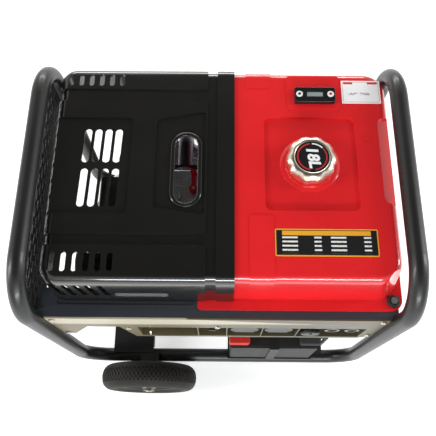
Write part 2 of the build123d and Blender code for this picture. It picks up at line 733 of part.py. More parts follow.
def tank_bolts():
    """Hexagon bolts through the flange, each with its rubber washer."""
    bolts = []
    for x, y in tank_bolt_places():
        washer = rod_z(9 if y < 0 else 4.8, flange_top, flange_top + 5, x, y)
        head = nut_z(11 if y < 0 else 8, flange_top + 5, flange_top + 11, x, y)
        bolts.append(washer + head + rod_z(4, tank_seat_z - 14, flange_top, x, y))
    return bolts


def tank_rail(side):
    """Channel from hoop to hoop that carries the tank and the cover."""
    if side < 0:
        y_span = (panel_y, panel_y + rail_flat)
    else:
        y_span = (tank_rail_back, post_y + 13)
    z_span = (tank_seat_z - 20, tank_seat_z)
    body = block((-inner_x + 1, inner_x - 1), y_span, z_span)
    body -= block((-inner_x, inner_x), (y_span[0] + rail_sheet, y_span[1] - rail_sheet),
                  (z_span[0], z_span[1] - rail_sheet))
    if side < 0:
        groove = Plane.XY.offset(tank_seat_z - 1.5) * Pos(-167, sum(y_span) / 2 + 3) * SlotOverall(250, 14)
        body -= extrude(groove, amount=3)
    for end in (-1, 1):
        tab_x = tuple(sorted((end * (inner_x - 20), end * (hoop_x - 2))))
        tab_y = (y_span[0], y_span[0] + 22)
        tab = block(tab_x, tab_y, (z_span[0], z_span[0] + rail_sheet))
        tab += block(tab_x, y_span, (z_span[1] - rail_sheet, z_span[1]))
        body += tab - rod_z(tube_r, z_span[0] - 5, z_span[1] + 5, end * hoop_x, side * post_y)
    return body - tank_bolt_holes()


def fuel_cap():
    """Lobed metal cap, a quarter turn to lock."""
    z0, top = cap_z, cap_z + cap_height
    body = rod_z(cap_r, z0 + 5, top, filler_x, filler_y)
    for angle in range(0, 360, 36):
        x = filler_x + (cap_r + 17) * cos(radians(angle))
        y = filler_y + (cap_r + 17) * sin(radians(angle))
        body -= rod_z(20, z0, top + 1, x, y)
    body = fillet(body.faces().sort_by(Axis.Z)[-1].edges(), 4)
    body += rod_z(cap_r - 4, z0, z0 + 6, filler_x, filler_y)
    body -= rod_z(neck_r + free_gap, z0 - 1, cap_under, filler_x, filler_y)
    boss = rod_z(cap_stem_r + 5, cap_under - 9, cap_under, filler_x, filler_y)
    return body + boss - rod_z(cap_stem_r + running, z0 - 1, cap_under, filler_x, filler_y)


def cap_seal():
    """Vented plug and gasket under the cap, which stay still as the cap turns on their stem."""
    rim = neck_top
    return turned_z([(0, rim - 9), (filler_r - 0.5, rim - 9), (filler_r - 0.5, rim), (neck_r, rim),
                     (neck_r, rim + 3), (cap_stem_r, rim + 3), (cap_stem_r, cap_under),
                     (0, cap_under)], filler_x, filler_y, 0)


def gauge_place():
    """Centre of the fuel gauge."""
    return filler_x + 14, filler_y + 138


def fuel_gauge():
    """Rectangular gauge with a window, fixed by two screws."""
    x, y = gauge_place()
    z = tank_top_z + gauge_pad
    body = block((x - 38, x + 38), (y - 16, y + 16), (z, z + 9))
    body = fillet(body.edges().filter_by(Axis.Z), 4)
    body = fillet(body.faces().sort_by(Axis.Z)[-1].edges(), 1.5)
    body -= block((x - 15, x + 15), (y - 5, y + 5), (z + 7.5, z + 10))
    for side in (-1, 1):
        body += rod_z(5, z + 8, z + 10.5, x + side * 30, y)
    return body


# Covers ------------------------------------------------------------------------------------------
def cover_block(shrink, z0, z1):
    """The cover's outer shape, drawn in by shrink."""
    faces = []
    grow = cover_gap + cover_wall
    for z, lean in ((z0, 0.0), (z1, tank_lean)):
        y_low, y_high = tank_y[0] - grow + shrink + lean, tank_y[1] + grow - shrink - lean
        x_low = cover_x[0] + shrink + lean / 3
        far = cover_x[1] + 60
        place = Plane.XY.offset(z) * Pos((x_low + far) / 2, (y_low + y_high) / 2)
        faces.append(place * RectangleRounded(far - x_low, y_high - y_low, 30 - shrink))
    body = loft(faces)
    body = fillet(body.faces().sort_by(Axis.Z)[-1].edges(), 16 - shrink)
    return body & block((-900, cover_x[1]), (-900, 900), (0, 900))


def slot_row(count, x0, pitch, y, length, width):
    """A row of slots along Y through the top of the cover."""
    sketch = None
    for i in range(count):
        one = Pos(x0 + i * pitch, y) * SlotOverall(length, width, rotation=90)
        sketch = one if sketch is None else sketch + one
    return extrude(Plane.XY.offset(cover_top_z - 20) * sketch, amount=40)


def top_cover():
    """Vented cover over the engine, with a port above the rocker cover."""
    body = cover_block(0, tank_seat_z, cover_top_z)
    body -= cover_block(cover_wall, tank_seat_z - 1, cover_top_z - cover_wall)
    body -= block((flange_x[0] - ear_size[0] - free_gap, 900), (-900, 900), (0, flange_top))
    body -= slot_row(4, -240, 18.7, 64, 68, vent_width)
    body -= slot_row(4, -241, 18.7, -19, 72, vent_width)
    body -= slot_row(6, -281, 19.4, 203, 22, edge_vent_width)
    body -= slot_row(6, -281, 19.8, -157, 33, edge_vent_width)
    port_outline = SlotOverall(port_size[1], port_size[0], rotation=90)
    port = Plane.XY.offset(cover_top_z - 20) * Pos(*port_centre) * port_outline
    body -= extrude(port, amount=40)
    for i in range(5):
        x = -277 + i * 20.0
        place = Pos(x, tank_y[0], cover_top_z - 45) * Rot(0, 15, 0) * Rot(90, 0, 0)
        slot = place * SlotOverall(52, 10, rotation=90)
        body -= extrude(slot, amount=40, both=True)
    return body


def end_guard():
    """Perforated plate under the hoop, in front of the hot parts."""
    middle = (-hoop_x - guard_sheet / 2, 0, hoop_z - tube_r - guard_height / 2)
    plane = Plane(origin=middle, x_dir=(0, 1, 0), z_dir=(1, 0, 0))
    inside_width = 2 * (post_y - tube_r)
    hoop_inside = Pos(0, -60) * RectangleRounded(inside_width, guard_height + 120, hoop_bend - tube_r)
    sheet_face = Rectangle(guard_width, guard_height) & hoop_inside
    pitch_y, pitch_z = guard_slot[0] + 8, guard_slot[1] + 6
    rows = int((guard_height - 12) // pitch_z)
    columns = int((guard_width - 20) // pitch_y)
    centres = []
    for row in range(rows):
        shift = pitch_y / 4 if row % 2 else -pitch_y / 4
        for column in range(columns):
            centres.append(((column - (columns - 1) / 2) * pitch_y + shift, (row - (rows - 1) / 2) * pitch_z))
    holes = [Pos(y, z) * SlotOverall(*guard_slot) for y, z in centres]
    return extrude(plane * (sheet_face - holes), amount=guard_sheet)


# Control panel -----------------------------------------------------------------------------------
def control_places():
    """X of each control along the deep part of the panel."""
    return {"key": -132.0, "meter": -72.0, "breaker": -10.0, "socket_left": 54.0, "socket_right": 122.0,
            "dial": 184.0, "weld_plus": 228.0, "weld_minus": 268.0}


def panel_outline():
    edge = inner_x - 1
    low = panel_bottom_z
    return [(-edge, panel_top_z), (-edge, low + 30), (-edge + 24, low + 30), (-edge + 62, band_bottom_z),
            (panel_left - 8, band_bottom_z), (panel_left + 12, low), (edge - 24, low), (edge, low + 26),
            (edge, panel_top_z)]


def control_panel():
    """Front panel: a band across the front, a sunken tray for the controls and a gusset at the left."""
    face = make_face(Polyline(*[(x, panel_face, z) for x, z in panel_outline()], close=True))
    body = extrude(face, amount=panel_sheet, dir=(0, 1, 0))
    outer_x, outer_z = [(low - tray_wall, high + tray_wall) for low, high in (control_tray_x, control_tray_z)]
    body += block(outer_x, (panel_face, control_back), outer_z)
    body -= block(control_tray_x, (panel_face - 1, control_face), control_tray_z)
    for x in divider_x:
        body += block((x - tray_wall / 2, x + tray_wall / 2), (panel_face, control_face), control_tray_z)
    return body - control_holes()


def control_holes():
    """Holes in the tray for the controls."""
    at = control_places()
    depth = (control_face - 1, control_back + 1)
    holes = [rod_y(11, *depth, at["key"], controls_z), rod_y(24, *depth, at["meter"], controls_z)]
    holes.append(block((at["breaker"] - 19, at["breaker"] + 19), depth, (controls_z - 28, controls_z + 28)))
    holes += [rod_y(socket_r, *depth, at[name], controls_z) for name in ("socket_left", "socket_right")]
    holes.append(rod_y(dial_shaft_r + running, *depth, at["dial"], controls_z))
    return holes + [rod_y(13, *depth, at[name], controls_z) for name in ("weld_plus", "weld_minus")]


def panel_box():
    """Sheet box behind the controls."""
    x_span, z_span = (panel_left + 20, inner_x - 22), (panel_bottom_z + 4, tank_seat_z - tank_depth - 8)
    y_span = (panel_y, panel_y + box_depth)
    outer = block(x_span, y_span, z_span)
    outer = fillet(outer.edges().filter_by(Axis.X), 3)
    inner = block((x_span[0] + box_wall, x_span[1] - box_wall), (y_span[0] - 5, y_span[1] - box_wall),
                  (z_span[0] + box_wall, z_span[1] - box_wall))
    return outer & block((-900, 900), (panel_y, 900), (0, 900)) - inner


def key_switch():
    x = control_places()["key"]
    body = rod_y(16, control_face - 5, control_face, x, controls_z)
    body += rod_y(11, control_face, control_back + 30, x, controls_z)
    return body - rod_y(key_plug_r + running, control_face - 6, control_face + 16, x, controls_z)


def ignition_key():
    """Key with a round bow, and the plug of the lock that turns with it."""
    x = control_places()["key"]
    bow = Pos(x, control_face - 17, controls_z) * Rot(0, 90, 0) * Cylinder(10, 2.4)
    bow -= Pos(x, control_face - 20, controls_z) * Rot(0, 90, 0) * Cylinder(3, 3)
    blade = block((x - 1.2, x + 1.2), (control_face - 12, control_face - 4), (controls_z - 4, controls_z + 4))
    return bow + blade + rod_y(key_plug_r, control_face - 5.5, control_face + 16, x, controls_z)


def voltmeter():
    """Square meter with a window and its case behind the panel."""
    x = control_places()["meter"]
    bezel = block((x - 29, x + 29), (control_face - 9, control_face), (controls_z - 29, controls_z + 29))
    bezel = fillet(bezel.edges().filter_by(Axis.Y), 5)
    bezel = fillet(bezel.faces().sort_by(Axis.Y)[0].edges(), 2)
    bezel -= block((x - 23, x + 23), (control_face - 10, control_face - 6),
                   (controls_z - 12, controls_z + 23))
    return bezel + rod_y(24, control_face, control_back + 36, x, controls_z)


def breaker():
    """Two-pole breaker: face plate with a slot for the lever, case behind the panel."""
    x = control_places()["breaker"]
    face = block((x - 24, x + 24), (control_face - 4, control_face), (controls_z - 36, controls_z + 36))
    face = fillet(face.edges().filter_by(Axis.Y), 3)
    body = face + block((x - 19, x + 19), (control_face, control_back + 48),
                        (controls_z - 28, controls_z + 28))
    body -= block((x - 9, x + 9), (control_face - 5, control_face + 12), (controls_z - 15, controls_z + 15))
    return body - rod_x(lever_pin_r + running, x - 12, x + 12, control_face + 3, controls_z)


def breaker_lever():
    """Lever of the breaker on its cross pin."""
    x = control_places()["breaker"]
    y = control_face + 3
    hub = Pos(x, y, controls_z) * Rot(0, 90, 0) * Cylinder(6, 16)
    arm = block((x - 7, x + 7), (y - 21, y), (controls_z - 3, controls_z + 3))
    pin = rod_x(lever_pin_r, x - 12, x + 12, y, controls_z)
    return hub + fillet(arm.edges().filter_by(Axis.X), 1.2) + pin


def ac_sockets():
    """Two panel sockets: square flange, round face with its pin holes, case behind the panel."""
    bodies = []
    for name in ("socket_left", "socket_right"):
        x = control_places()[name]
        flange = block((x - 31, x + 31), (control_face - 5, control_face), (controls_z - 32, controls_z + 32))
        flange = fillet(flange.edges().filter_by(Axis.Y), 6)
        body = flange + rod_y(26, control_face - 9, control_face - 4, x, controls_z)
        body += rod_y(socket_r, control_face, control_back + 40, x, controls_z)
        for angle in (90, 210, 330):
            pin_x = x + 10 * cos(radians(angle))
            pin_z = controls_z + 10 * sin(radians(angle))
            body -= rod_y(2.6, control_face - 10, control_face + 14, pin_x, pin_z)
        for side in (-1, 1):
            body += rod_x(3, x + side * 24 - 3.5, x + side * 24 + 3.5, lid_hinge_y(), lid_hinge_z())
            body += block((x + side * 24 - 3.5, x + side * 24 + 3.5), (lid_hinge_y(), control_face - 2),
                          (lid_hinge_z() - 3, lid_hinge_z() + 3))
            body -= rod_x(1.5 + running, x + side * 24 - 4, x + side * 24 + 4, lid_hinge_y(), lid_hinge_z())
        bodies.append(body)
    return bodies


def lid_hinge_y():
    return control_face - 12


def lid_hinge_z():
    return controls_z + 29


def socket_lid(x):
    """Spring lid of a socket, with the pin that it turns on."""
    y0 = lid_hinge_y() + 0.5
    lid = block((x - 19.5, x + 19.5), (y0 - 4, y0), (controls_z - 28, lid_hinge_z() + 2))
    lid += rod_y(28, y0 - 4, y0, x, controls_z) & block((-900, 900), (-900, 900), (0, controls_z + 18))
    lid += rod_x(3, x - 19.5, x + 19.5, lid_hinge_y(), lid_hinge_z())
    lid += rod_x(1.5, x - 27, x + 27, lid_hinge_y(), lid_hinge_z())
    return lid


def current_dial():
    """Knob of the welding current control, with its shaft."""
    x = control_places()["dial"]
    knob = rod_y(19, control_face - 24, control_face - 1.5, x, controls_z)
    knob = fillet(knob.edges().sort_by(Axis.Y)[0], 3)
    for angle in range(0, 360, 20):
        groove_x = x + 20 * cos(radians(angle))
        groove_z = controls_z + 20 * sin(radians(angle))
        knob -= rod_y(2.4, control_face - 19, control_face, groove_x, groove_z)
    pointer = block((x - 1.5, x + 1.5), (control_face - 26, control_face - 23),
                    (controls_z + 2, controls_z + 15))
    return knob + pointer + rod_y(dial_shaft_r, control_face - 3, control_back + 14, x, controls_z)


def weld_sockets():
    """Insulated housings and the brass contacts of the two welding outlets."""
    housings, contacts = [], []
    for name in ("weld_plus", "weld_minus"):
        x = control_places()[name]
        y0 = control_face - 16
        flange = rod_y(18, control_face - 6, control_face, x, controls_z)
        front_edge = rod_y(16, y0, control_face - 4, x, controls_z).edges().sort_by(Axis.Y)[0]
        housing = flange + fillet(front_edge, 2)
        housing += rod_y(13, control_face, control_back + 26, x, controls_z)
        housings.append(housing - rod_y(10, y0 - 1, control_back + 30, x, controls_z))
        contact = rod_y(10, y0 + 2, control_back + 34, x, controls_z)
        contacts.append(contact - rod_y(weld_bore_r, y0 + 1, y0 + 2 + weld_bore_depth, x, controls_z))
    return housings, contacts


def screws():
    """Pan heads that hold the panel and the cover."""
    heads = []
    spots = [(-inner_x + 12, panel_bottom_z + 42), (-inner_x + 12, panel_top_z - 12),
             (inner_x - 12, panel_top_z - 12),
             (inner_x - 12, panel_bottom_z + 40), (panel_left + 9, band_bottom_z - 12),
             (0.0, band_bottom_z + 6)]
    for x, z in spots:
        head = rod_y(5.5, panel_face - 3.5, panel_face, x, z)
        head = fillet(head.edges().sort_by(Axis.Y)[0], 2)
        heads.append(head - block((x - 4, x + 4), (panel_face - 4, panel_face - 2.6), (z - 0.6, z + 0.6)))
    return heads


# Battery -----------------------------------------------------------------------------------------
def battery_tray():
    """Tray on the front rail, with a bar to both crossmembers and the strap over the battery."""
    x_span = (battery_x[0] - 4, battery_x[1] + 4)
    y_span = (battery_front - 3, battery_back + 3)
    body = block(x_span, y_span, (rail_top, member_top))
    body += block(x_span, (y_span[0], battery_front), (rail_top, member_top + 16))
    body += block(x_span, (battery_back, y_span[1]), (rail_top, member_top + 16))
    body += block((fan_member[1], tail_member[0]), (battery_back - 26, battery_back),
                  (rail_top - 3, rail_top))
    body -= block(tail_member, (-post_y, post_y), (0, member_top))
    middle = sum(battery_x) / 2
    strap = (middle - 10, middle + 10)
    top = battery_top
    body += block(strap, y_span, (top, top + 2))
    body += block(strap, (y_span[0], battery_front), (member_top, top + 2))
    return body + block(strap, (battery_back, y_span[1]), (member_top, top + 2))


def battery_case():
    body = block(battery_x, (battery_front, battery_back), (member_top, battery_top))
    body = fillet(body.edges().filter_by(Axis.Z), 5)
    lid_line = block((battery_x[0] - 1, battery_x[1] + 1), (battery_front - 1, battery_back + 1),
                     (battery_top - 26, battery_top - 24))
    core = block((battery_x[0] + 1.2, battery_x[1] - 1.2), (battery_front + 1.2, battery_back - 1.2),
                 (battery_top - 40, battery_top - 10))
    return body - (lid_line - core)


def terminal_places():
    return (battery_x[0] + 20, battery_x[1] - 20), battery_front + 24


def battery_boots():
    """Rubber boots over the two terminals, which carry the cable lugs."""
    boots = []
    (x_plus, x_minus), y = terminal_places()
    for x in (x_plus, x_minus):
        boot = block((x - boot_half, x + boot_half), (y - 18, y + 16), (battery_top, battery_top + 18))
        boot = fillet(boot.edges().filter_by(Axis.Z), 6)
        boots.append(fillet(boot.faces().sort_by(Axis.Z)[-1].edges(), 4))
    return boots


def battery_cables():
    """Cable from each terminal: plus into the control box, minus to the engine skid."""
    (x_plus, x_minus), y = terminal_places()
    z = battery_top + 9
    box_z = panel_bottom_z + 4
    plus = pipe([(x_plus, y + 16, z), (x_plus, y + 46, z), (x_plus, y + 46, box_z)], [26], 4)
    skid_y = -mount_y - skid_width / 2
    end_x = battery_x[1] + 14
    low = engine_z - 12
    minus = pipe([(x_minus + boot_half, y, z), (end_x + 4, y, z), (end_x + 4, y, low + 40),
                  (end_x + 4, skid_y - 10, low), (end_x + 4, skid_y, low)], [8, 16, 8], 4)
    return plus, minus


# Lever on the rocker cover -----------------------------------------------------------------------
def decompression_lever():
    """Small lever on the rocker cover's pin."""
    x, y = lever_pivot()
    z = rocker_z + 34
    lever = rod_z(8, z, z + 9, x, y) + block((x - 4, x + 4), (y, y + 34), (z + 3, z + 8))
    lever += rod_z(6, z + 3, z + 11, x, y + 34)
    return lever - rod_z(lever_pin_r + 1 + running, z - 1, z + 10, x, y)


# Write every node --------------------------------------------------------------------------------
def main():
    os.makedirs("parts", exist_ok=True)
    write("frame_left_tube", frame_tube(-1))
    write("frame_right_tube", frame_tube(1))
    write("crossmembers", [crossmember(fan_member), crossmember(tail_member)])
    write("axle_brackets", both_sides(axle_bracket))
    write("axle_stubs", axle_stub(-1) + axle_stub(1))
    for side, name in ((-1, "front"), (1, "rear")):
        rim, tyre = wheel(-side)
        write(f"{name}_rim", rim)
        write(f"{name}_tyre", tyre)
    legs = both_sides(stand_leg)
    write("stand_legs", [leg for leg, _ in legs])
    write("rubber_feet", [foot for _, foot in legs])
    write("engine_skid", engine_skid())
    write("rubber_mounts", rubber_mounts())
    write("crankcase", crankcase())
    write("cylinder", cylinder())
    write("cylinder_head", cylinder_head())
    write("rocker_cover", rocker_cover())
    write("fan_shroud", fan_shroud())
    write("recoil_cover", recoil_cover())
    write("recoil_handle", recoil_handle())
    write("crankshaft", crankshaft())
    write("flywheel", flywheel())
    can, lid = air_cleaner()
    write("air_cleaner", can)
    write("air_cleaner_lid", lid)
    write("exhaust_pipe", exhaust_pipe())
    write("muffler", muffler())
    write("starter_motor", starter_motor())
    write("injection_pump", injection_pump())
    write("alternator_adapter", alternator_adapter())
    write("alternator_stator", alternator_stator())
    write("alternator_end_bell", alternator_end_bell())
    write("alternator_rotor", alternator_rotor())
    write("fuel_tank_upper", fuel_tank_upper())
    write("fuel_tank_lower", fuel_tank_lower())
    write("tank_rails", both_sides(tank_rail))
    write("fuel_cap", fuel_cap())
    write("cap_seal", cap_seal())
    write("fuel_gauge", fuel_gauge())
    write("top_cover", top_cover())
    write("end_guard", end_guard())
    write("control_panel", control_panel())
    write("panel_box", panel_box())
    write("key_switch", key_switch())
    write("ignition_key", ignition_key())
    write("voltmeter", voltmeter())
    write("breaker", breaker())
    write("breaker_lever", breaker_lever())
    write("ac_sockets", ac_sockets())
    write("left_socket_lid", socket_lid(control_places()["socket_left"]))
    write("right_socket_lid", socket_lid(control_places()["socket_right"]))
    write("current_dial", current_dial())
    housings, contacts = weld_sockets()
    write("weld_sockets", housings)
    write("weld_contacts", contacts)
    write("bolts_and_screws", tank_bolts() + screws())
    write("battery_tray", battery_tray())
    write("battery_case", battery_case())
    plus_boot, minus_boot = battery_boots()
    write("battery_plus_boot", plus_boot)
    write("battery_minus_boot", minus_boot)
    write("battery_cables", battery_cables())
    write("decompression_lever", decompression_lever())


main()
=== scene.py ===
"""Looks of an engine driven welder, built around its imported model. Lengths are in metres."""
import math

import bmesh
import bpy
from mathutils import Matrix, Vector


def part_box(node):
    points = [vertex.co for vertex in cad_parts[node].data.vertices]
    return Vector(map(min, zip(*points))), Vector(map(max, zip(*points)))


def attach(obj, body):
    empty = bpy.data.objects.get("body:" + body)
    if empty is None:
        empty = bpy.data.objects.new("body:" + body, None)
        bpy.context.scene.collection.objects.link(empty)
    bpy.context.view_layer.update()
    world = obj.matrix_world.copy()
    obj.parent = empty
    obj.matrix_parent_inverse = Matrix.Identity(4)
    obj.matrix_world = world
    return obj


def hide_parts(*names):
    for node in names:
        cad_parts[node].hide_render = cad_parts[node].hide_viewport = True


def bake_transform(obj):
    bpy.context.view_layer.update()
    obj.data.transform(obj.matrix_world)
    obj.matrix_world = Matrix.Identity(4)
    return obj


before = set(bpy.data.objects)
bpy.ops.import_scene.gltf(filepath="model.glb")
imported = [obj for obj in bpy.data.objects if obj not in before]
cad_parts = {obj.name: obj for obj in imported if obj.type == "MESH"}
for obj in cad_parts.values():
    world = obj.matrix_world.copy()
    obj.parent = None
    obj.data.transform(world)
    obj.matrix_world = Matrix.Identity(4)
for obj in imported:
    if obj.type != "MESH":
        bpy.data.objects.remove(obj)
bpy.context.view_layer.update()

MM = 0.001
SOFT_EDGE = 0.0017          # edge radius of a pressed sheet
FIXED = "machine"

cover_low, cover_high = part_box("top_cover")
cap_low, cap_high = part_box("fuel_cap")
gauge_low, gauge_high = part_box("fuel_gauge")
panel_low, panel_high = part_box("control_panel")
dial_low, dial_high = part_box("current_dial")
meter_low, meter_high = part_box("voltmeter")
battery_low, battery_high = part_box("battery_case")
grip_low, grip_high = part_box("recoil_handle")
rail_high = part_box("tank_rails")[1]

flange_top = rail_high.z + 4 * MM
tray_face = panel_low.y + 20 * MM       # bottom of the sunken tray that holds the controls
bolt = Vector((317 * MM, -199 * MM, flange_top))
tank_top = gauge_low.z - 2 * MM
filler = (cap_low + cap_high) / 2


# Shader sums -------------------------------------------------------------------------------------
class Value:
    """A shader socket that can be used in sums."""

    def __init__(self, finish, socket):
        self.finish = finish
        self.socket = socket

    def sum(self, operation, first, second):
        return self.finish.node("ShaderNodeMath", {"operation": operation}, {0: first, 1: second})

    def __add__(self, other):
        return self.sum("ADD", self, other)

    def __radd__(self, other):
        return self.sum("ADD", other, self)

    def __sub__(self, other):
        return self.sum("SUBTRACT", self, other)

    def __rsub__(self, other):
        return self.sum("SUBTRACT", other, self)

    def __mul__(self, other):
        return self.sum("MULTIPLY", self, other)

    def __rmul__(self, other):
        return self.sum("MULTIPLY", other, self)

    def __truediv__(self, other):
        return self.sum("DIVIDE", self, other)

    def __pow__(self, other):
        return self.sum("POWER", self, other)


class Finish:
    """One material: its shader, and the nodes that feed it."""

    def __init__(self, name, **constants):
        self.material = bpy.data.materials.new(name)
        self.material.use_nodes = True
        self.tree = self.material.node_tree
        self.shader = self.tree.nodes["Principled BSDF"]
        self.set(**constants)
        self.place = self.node("ShaderNodeTexCoord", output="Object")

    def set(self, **constants):
        """Sets or links the shader's sockets: coat_weight is Coat Weight."""
        for name, value in constants.items():
            self.join(value, self.shader.inputs[name.replace("_", " ").title()])

    def join(self, value, socket):
        if isinstance(value, Value):
            self.tree.links.new(value.socket, socket)
        elif socket.type == "RGBA" and len(value) == 3:
            socket.default_value = (*value, 1)
        else:
            socket.default_value = value

    def node(self, kind, settings=None, inputs=None, output=0):
        """A node from its type, its settings and the values or links of its sockets."""
        made = self.tree.nodes.new(kind)
        for name, value in (settings or {}).items():
            if name == "stops":
                self.stops(made.color_ramp, value)
            else:
                setattr(made, name, value)
        for name, value in (inputs or {}).items():
            self.join(value, made.inputs[name])
        return Value(self, made.outputs[output])

    def stops(self, ramp, stops):
        while len(ramp.elements) < len(stops):
            ramp.elements.new(1)
        for element, (position, colour) in zip(ramp.elements, stops):
            element.position = position
            element.color = (*colour, 1)

    def noise(self, scale, detail=2.0, stretch=(1, 1, 1)):
        """Noise from 0 to 1; scale is in patches a metre, and stretch pulls it out along an axis."""
        squeeze = [1 / s for s in stretch]
        moved = self.node("ShaderNodeMapping", None, {"Vector": self.place, "Scale": squeeze})
        return self.node("ShaderNodeTexNoise", None, {"Vector": moved, "Scale": scale, "Detail": detail})

    def ramp(self, value, *stops):
        return self.node("ShaderNodeValToRGB", {"stops": stops}, {"Fac": value})

    def mix(self, factor, first, second):
        """Two colours mixed."""
        return self.node("ShaderNodeMix", {"data_type": "RGBA"}, {0: factor, 6: first, 7: second}, output=2)

    def step(self, value, low, high):
        """0 under low, 1 over high, smooth between."""
        limits = {"Value": value, "From Min": low, "From Max": high}
        return self.node("ShaderNodeMapRange", {"interpolation_type": "SMOOTHSTEP"}, limits)

    def inside(self, value, low, high, soft=0.0002):
        """1 between low and high, 0 outside."""
        return self.step(value, low - soft, low + soft) * (1 - self.step(value, high - soft, high + soft))

    def axes(self, vector=None):
        split = self.node("ShaderNodeSeparateXYZ", None, {"Vector": vector or self.place})
        outputs = split.socket.node.outputs
        return [Value(self, outputs[i]) for i in range(3)]

    def facing(self):
        """X, Y and Z of the surface's own direction."""
        normal = self.node("ShaderNodeNewGeometry", output="Normal")
        return self.axes(normal)

    def bump(self, height, strength, distance):
        values = {"Strength": strength, "Distance": distance, "Height": height}
        self.set(normal=self.node("ShaderNodeBump", None, values))


# Finishes ----------------------------------------------------------------------------------------
def enamel(name, colour, rough, peel=0.05, dust=0.02, coat=0.6):
    """Sprayed enamel: orange peel, uneven gloss and a little dust on what faces up."""
    finish = Finish(name, metallic=0.0, coat_weight=coat, coat_roughness=0.08)
    cloud = finish.noise(7, 4)
    fine = finish.noise(160, 3)
    dark = [c * 0.82 for c in colour]
    light = [min(1, c * 1.15 + 0.002) for c in colour]
    base = finish.mix(cloud, dark, light)
    up = finish.step(finish.facing()[2], 0.5, 1.0)
    settled = finish.step(finish.noise(420, 5), 0.52, 0.78) * up * dust
    finish.set(base_color=finish.mix(settled, base, (0.5, 0.48, 0.44)))
    finish.set(roughness=rough + (cloud - 0.5) * 0.12 + settled * 2)
    finish.bump(fine + finish.noise(900, 2) * 0.3, peel, 0.0006)
    return finish.material


def cast_metal(name, colour, rough, metallic):
    """Sand cast surface: grain and a few darker stains."""
    finish = Finish(name, metallic=metallic)
    grain = finish.noise(700, 4)
    stain = finish.step(finish.noise(22, 5), 0.45, 0.75)
    base = finish.mix(grain, [c * 0.75 for c in colour], [min(1, c * 1.12) for c in colour])
    finish.set(base_color=finish.mix(stain * 0.35, base, [c * 0.5 for c in colour]))
    finish.set(roughness=rough + (grain - 0.5) * 0.3)
    finish.bump(grain, 0.35, 0.0006)
    return finish.material


def plated(name, colour, rough, streak):
    """Plated steel with fine marks drawn out along one axis."""
    finish = Finish(name, metallic=1.0)
    marks = finish.noise(900, 3, streak)
    cloud = finish.noise(18, 4)
    warm = [colour[0] * 1.03, colour[1] * 0.96, colour[2] * 0.8]
    finish.set(base_color=finish.mix(cloud, colour, warm))
    finish.set(roughness=rough + (marks - 0.5) * 0.18 + (cloud - 0.5) * 0.1)
    finish.bump(marks, 0.06, 0.0003)
    return finish.material


def heated_steel(name, hot_x, cool_x):
    """Muffler steel: straw, brown and blue tints that fade with distance from the port."""
    finish = Finish(name, metallic=0.9)
    x = finish.axes()[0]
    along = finish.step(x + (finish.noise(14, 4) - 0.5) * 0.06, hot_x, cool_x)
    tint = finish.ramp(along, (0.0, (0.09, 0.085, 0.11)), (0.3, (0.2, 0.11, 0.06)), (0.6, (0.33, 0.25, 0.17)),
                       (1.0, (0.42, 0.4, 0.37)))
    rust = finish.step(finish.noise(60, 6), 0.58, 0.75)
    finish.set(base_color=finish.mix(rust * 0.4, tint, (0.14, 0.06, 0.03)))
    finish.set(roughness=0.42 + rust * 0.3)
    finish.bump(finish.noise(300, 4), 0.12, 0.0004)
    return finish.material


def moulded(name, colour, rough, grain=0.12):
    """Moulded plastic or rubber: fine spark grain and a soft change of gloss."""
    finish = Finish(name, metallic=0.0)
    cloud = finish.noise(25, 3)
    dark = [c * 0.85 for c in colour]
    light = [min(1, c * 1.2 + 0.003) for c in colour]
    finish.set(base_color=finish.mix(cloud, dark, light))
    finish.set(roughness=rough + (cloud - 0.5) * 0.15)
    finish.bump(finish.noise(1500, 3), grain, 0.0003)
    return finish.material


def tyre_rubber(name):
    """Tyre rubber: grey bloom on the flanks and dust in the tread."""
    finish = Finish(name, metallic=0.0)
    cloud = finish.noise(30, 5)
    dust = finish.step(finish.noise(90, 5), 0.5, 0.8)
    base = finish.mix(cloud, (0.004, 0.0035, 0.002), (0.01, 0.008, 0.0045))
    finish.set(base_color=finish.mix(dust * 0.2, base, (0.05, 0.036, 0.016)))
    finish.set(roughness=0.72 + (cloud - 0.5) * 0.2)
    finish.bump(finish.noise(500, 4), 0.2, 0.0004)
    return finish.material


def machined(name, colour, rings):
    """Turned or ground metal with close tool marks."""
    finish = Finish(name, metallic=1.0)
    marks = finish.noise(rings, 2, (0.05, 1, 1))
    finish.set(base_color=finish.mix(finish.noise(40, 3), [c * 0.85 for c in colour], colour))
    finish.set(roughness=0.24 + (marks - 0.5) * 0.2)
    finish.bump(marks, 0.08, 0.0002)
    return finish.material


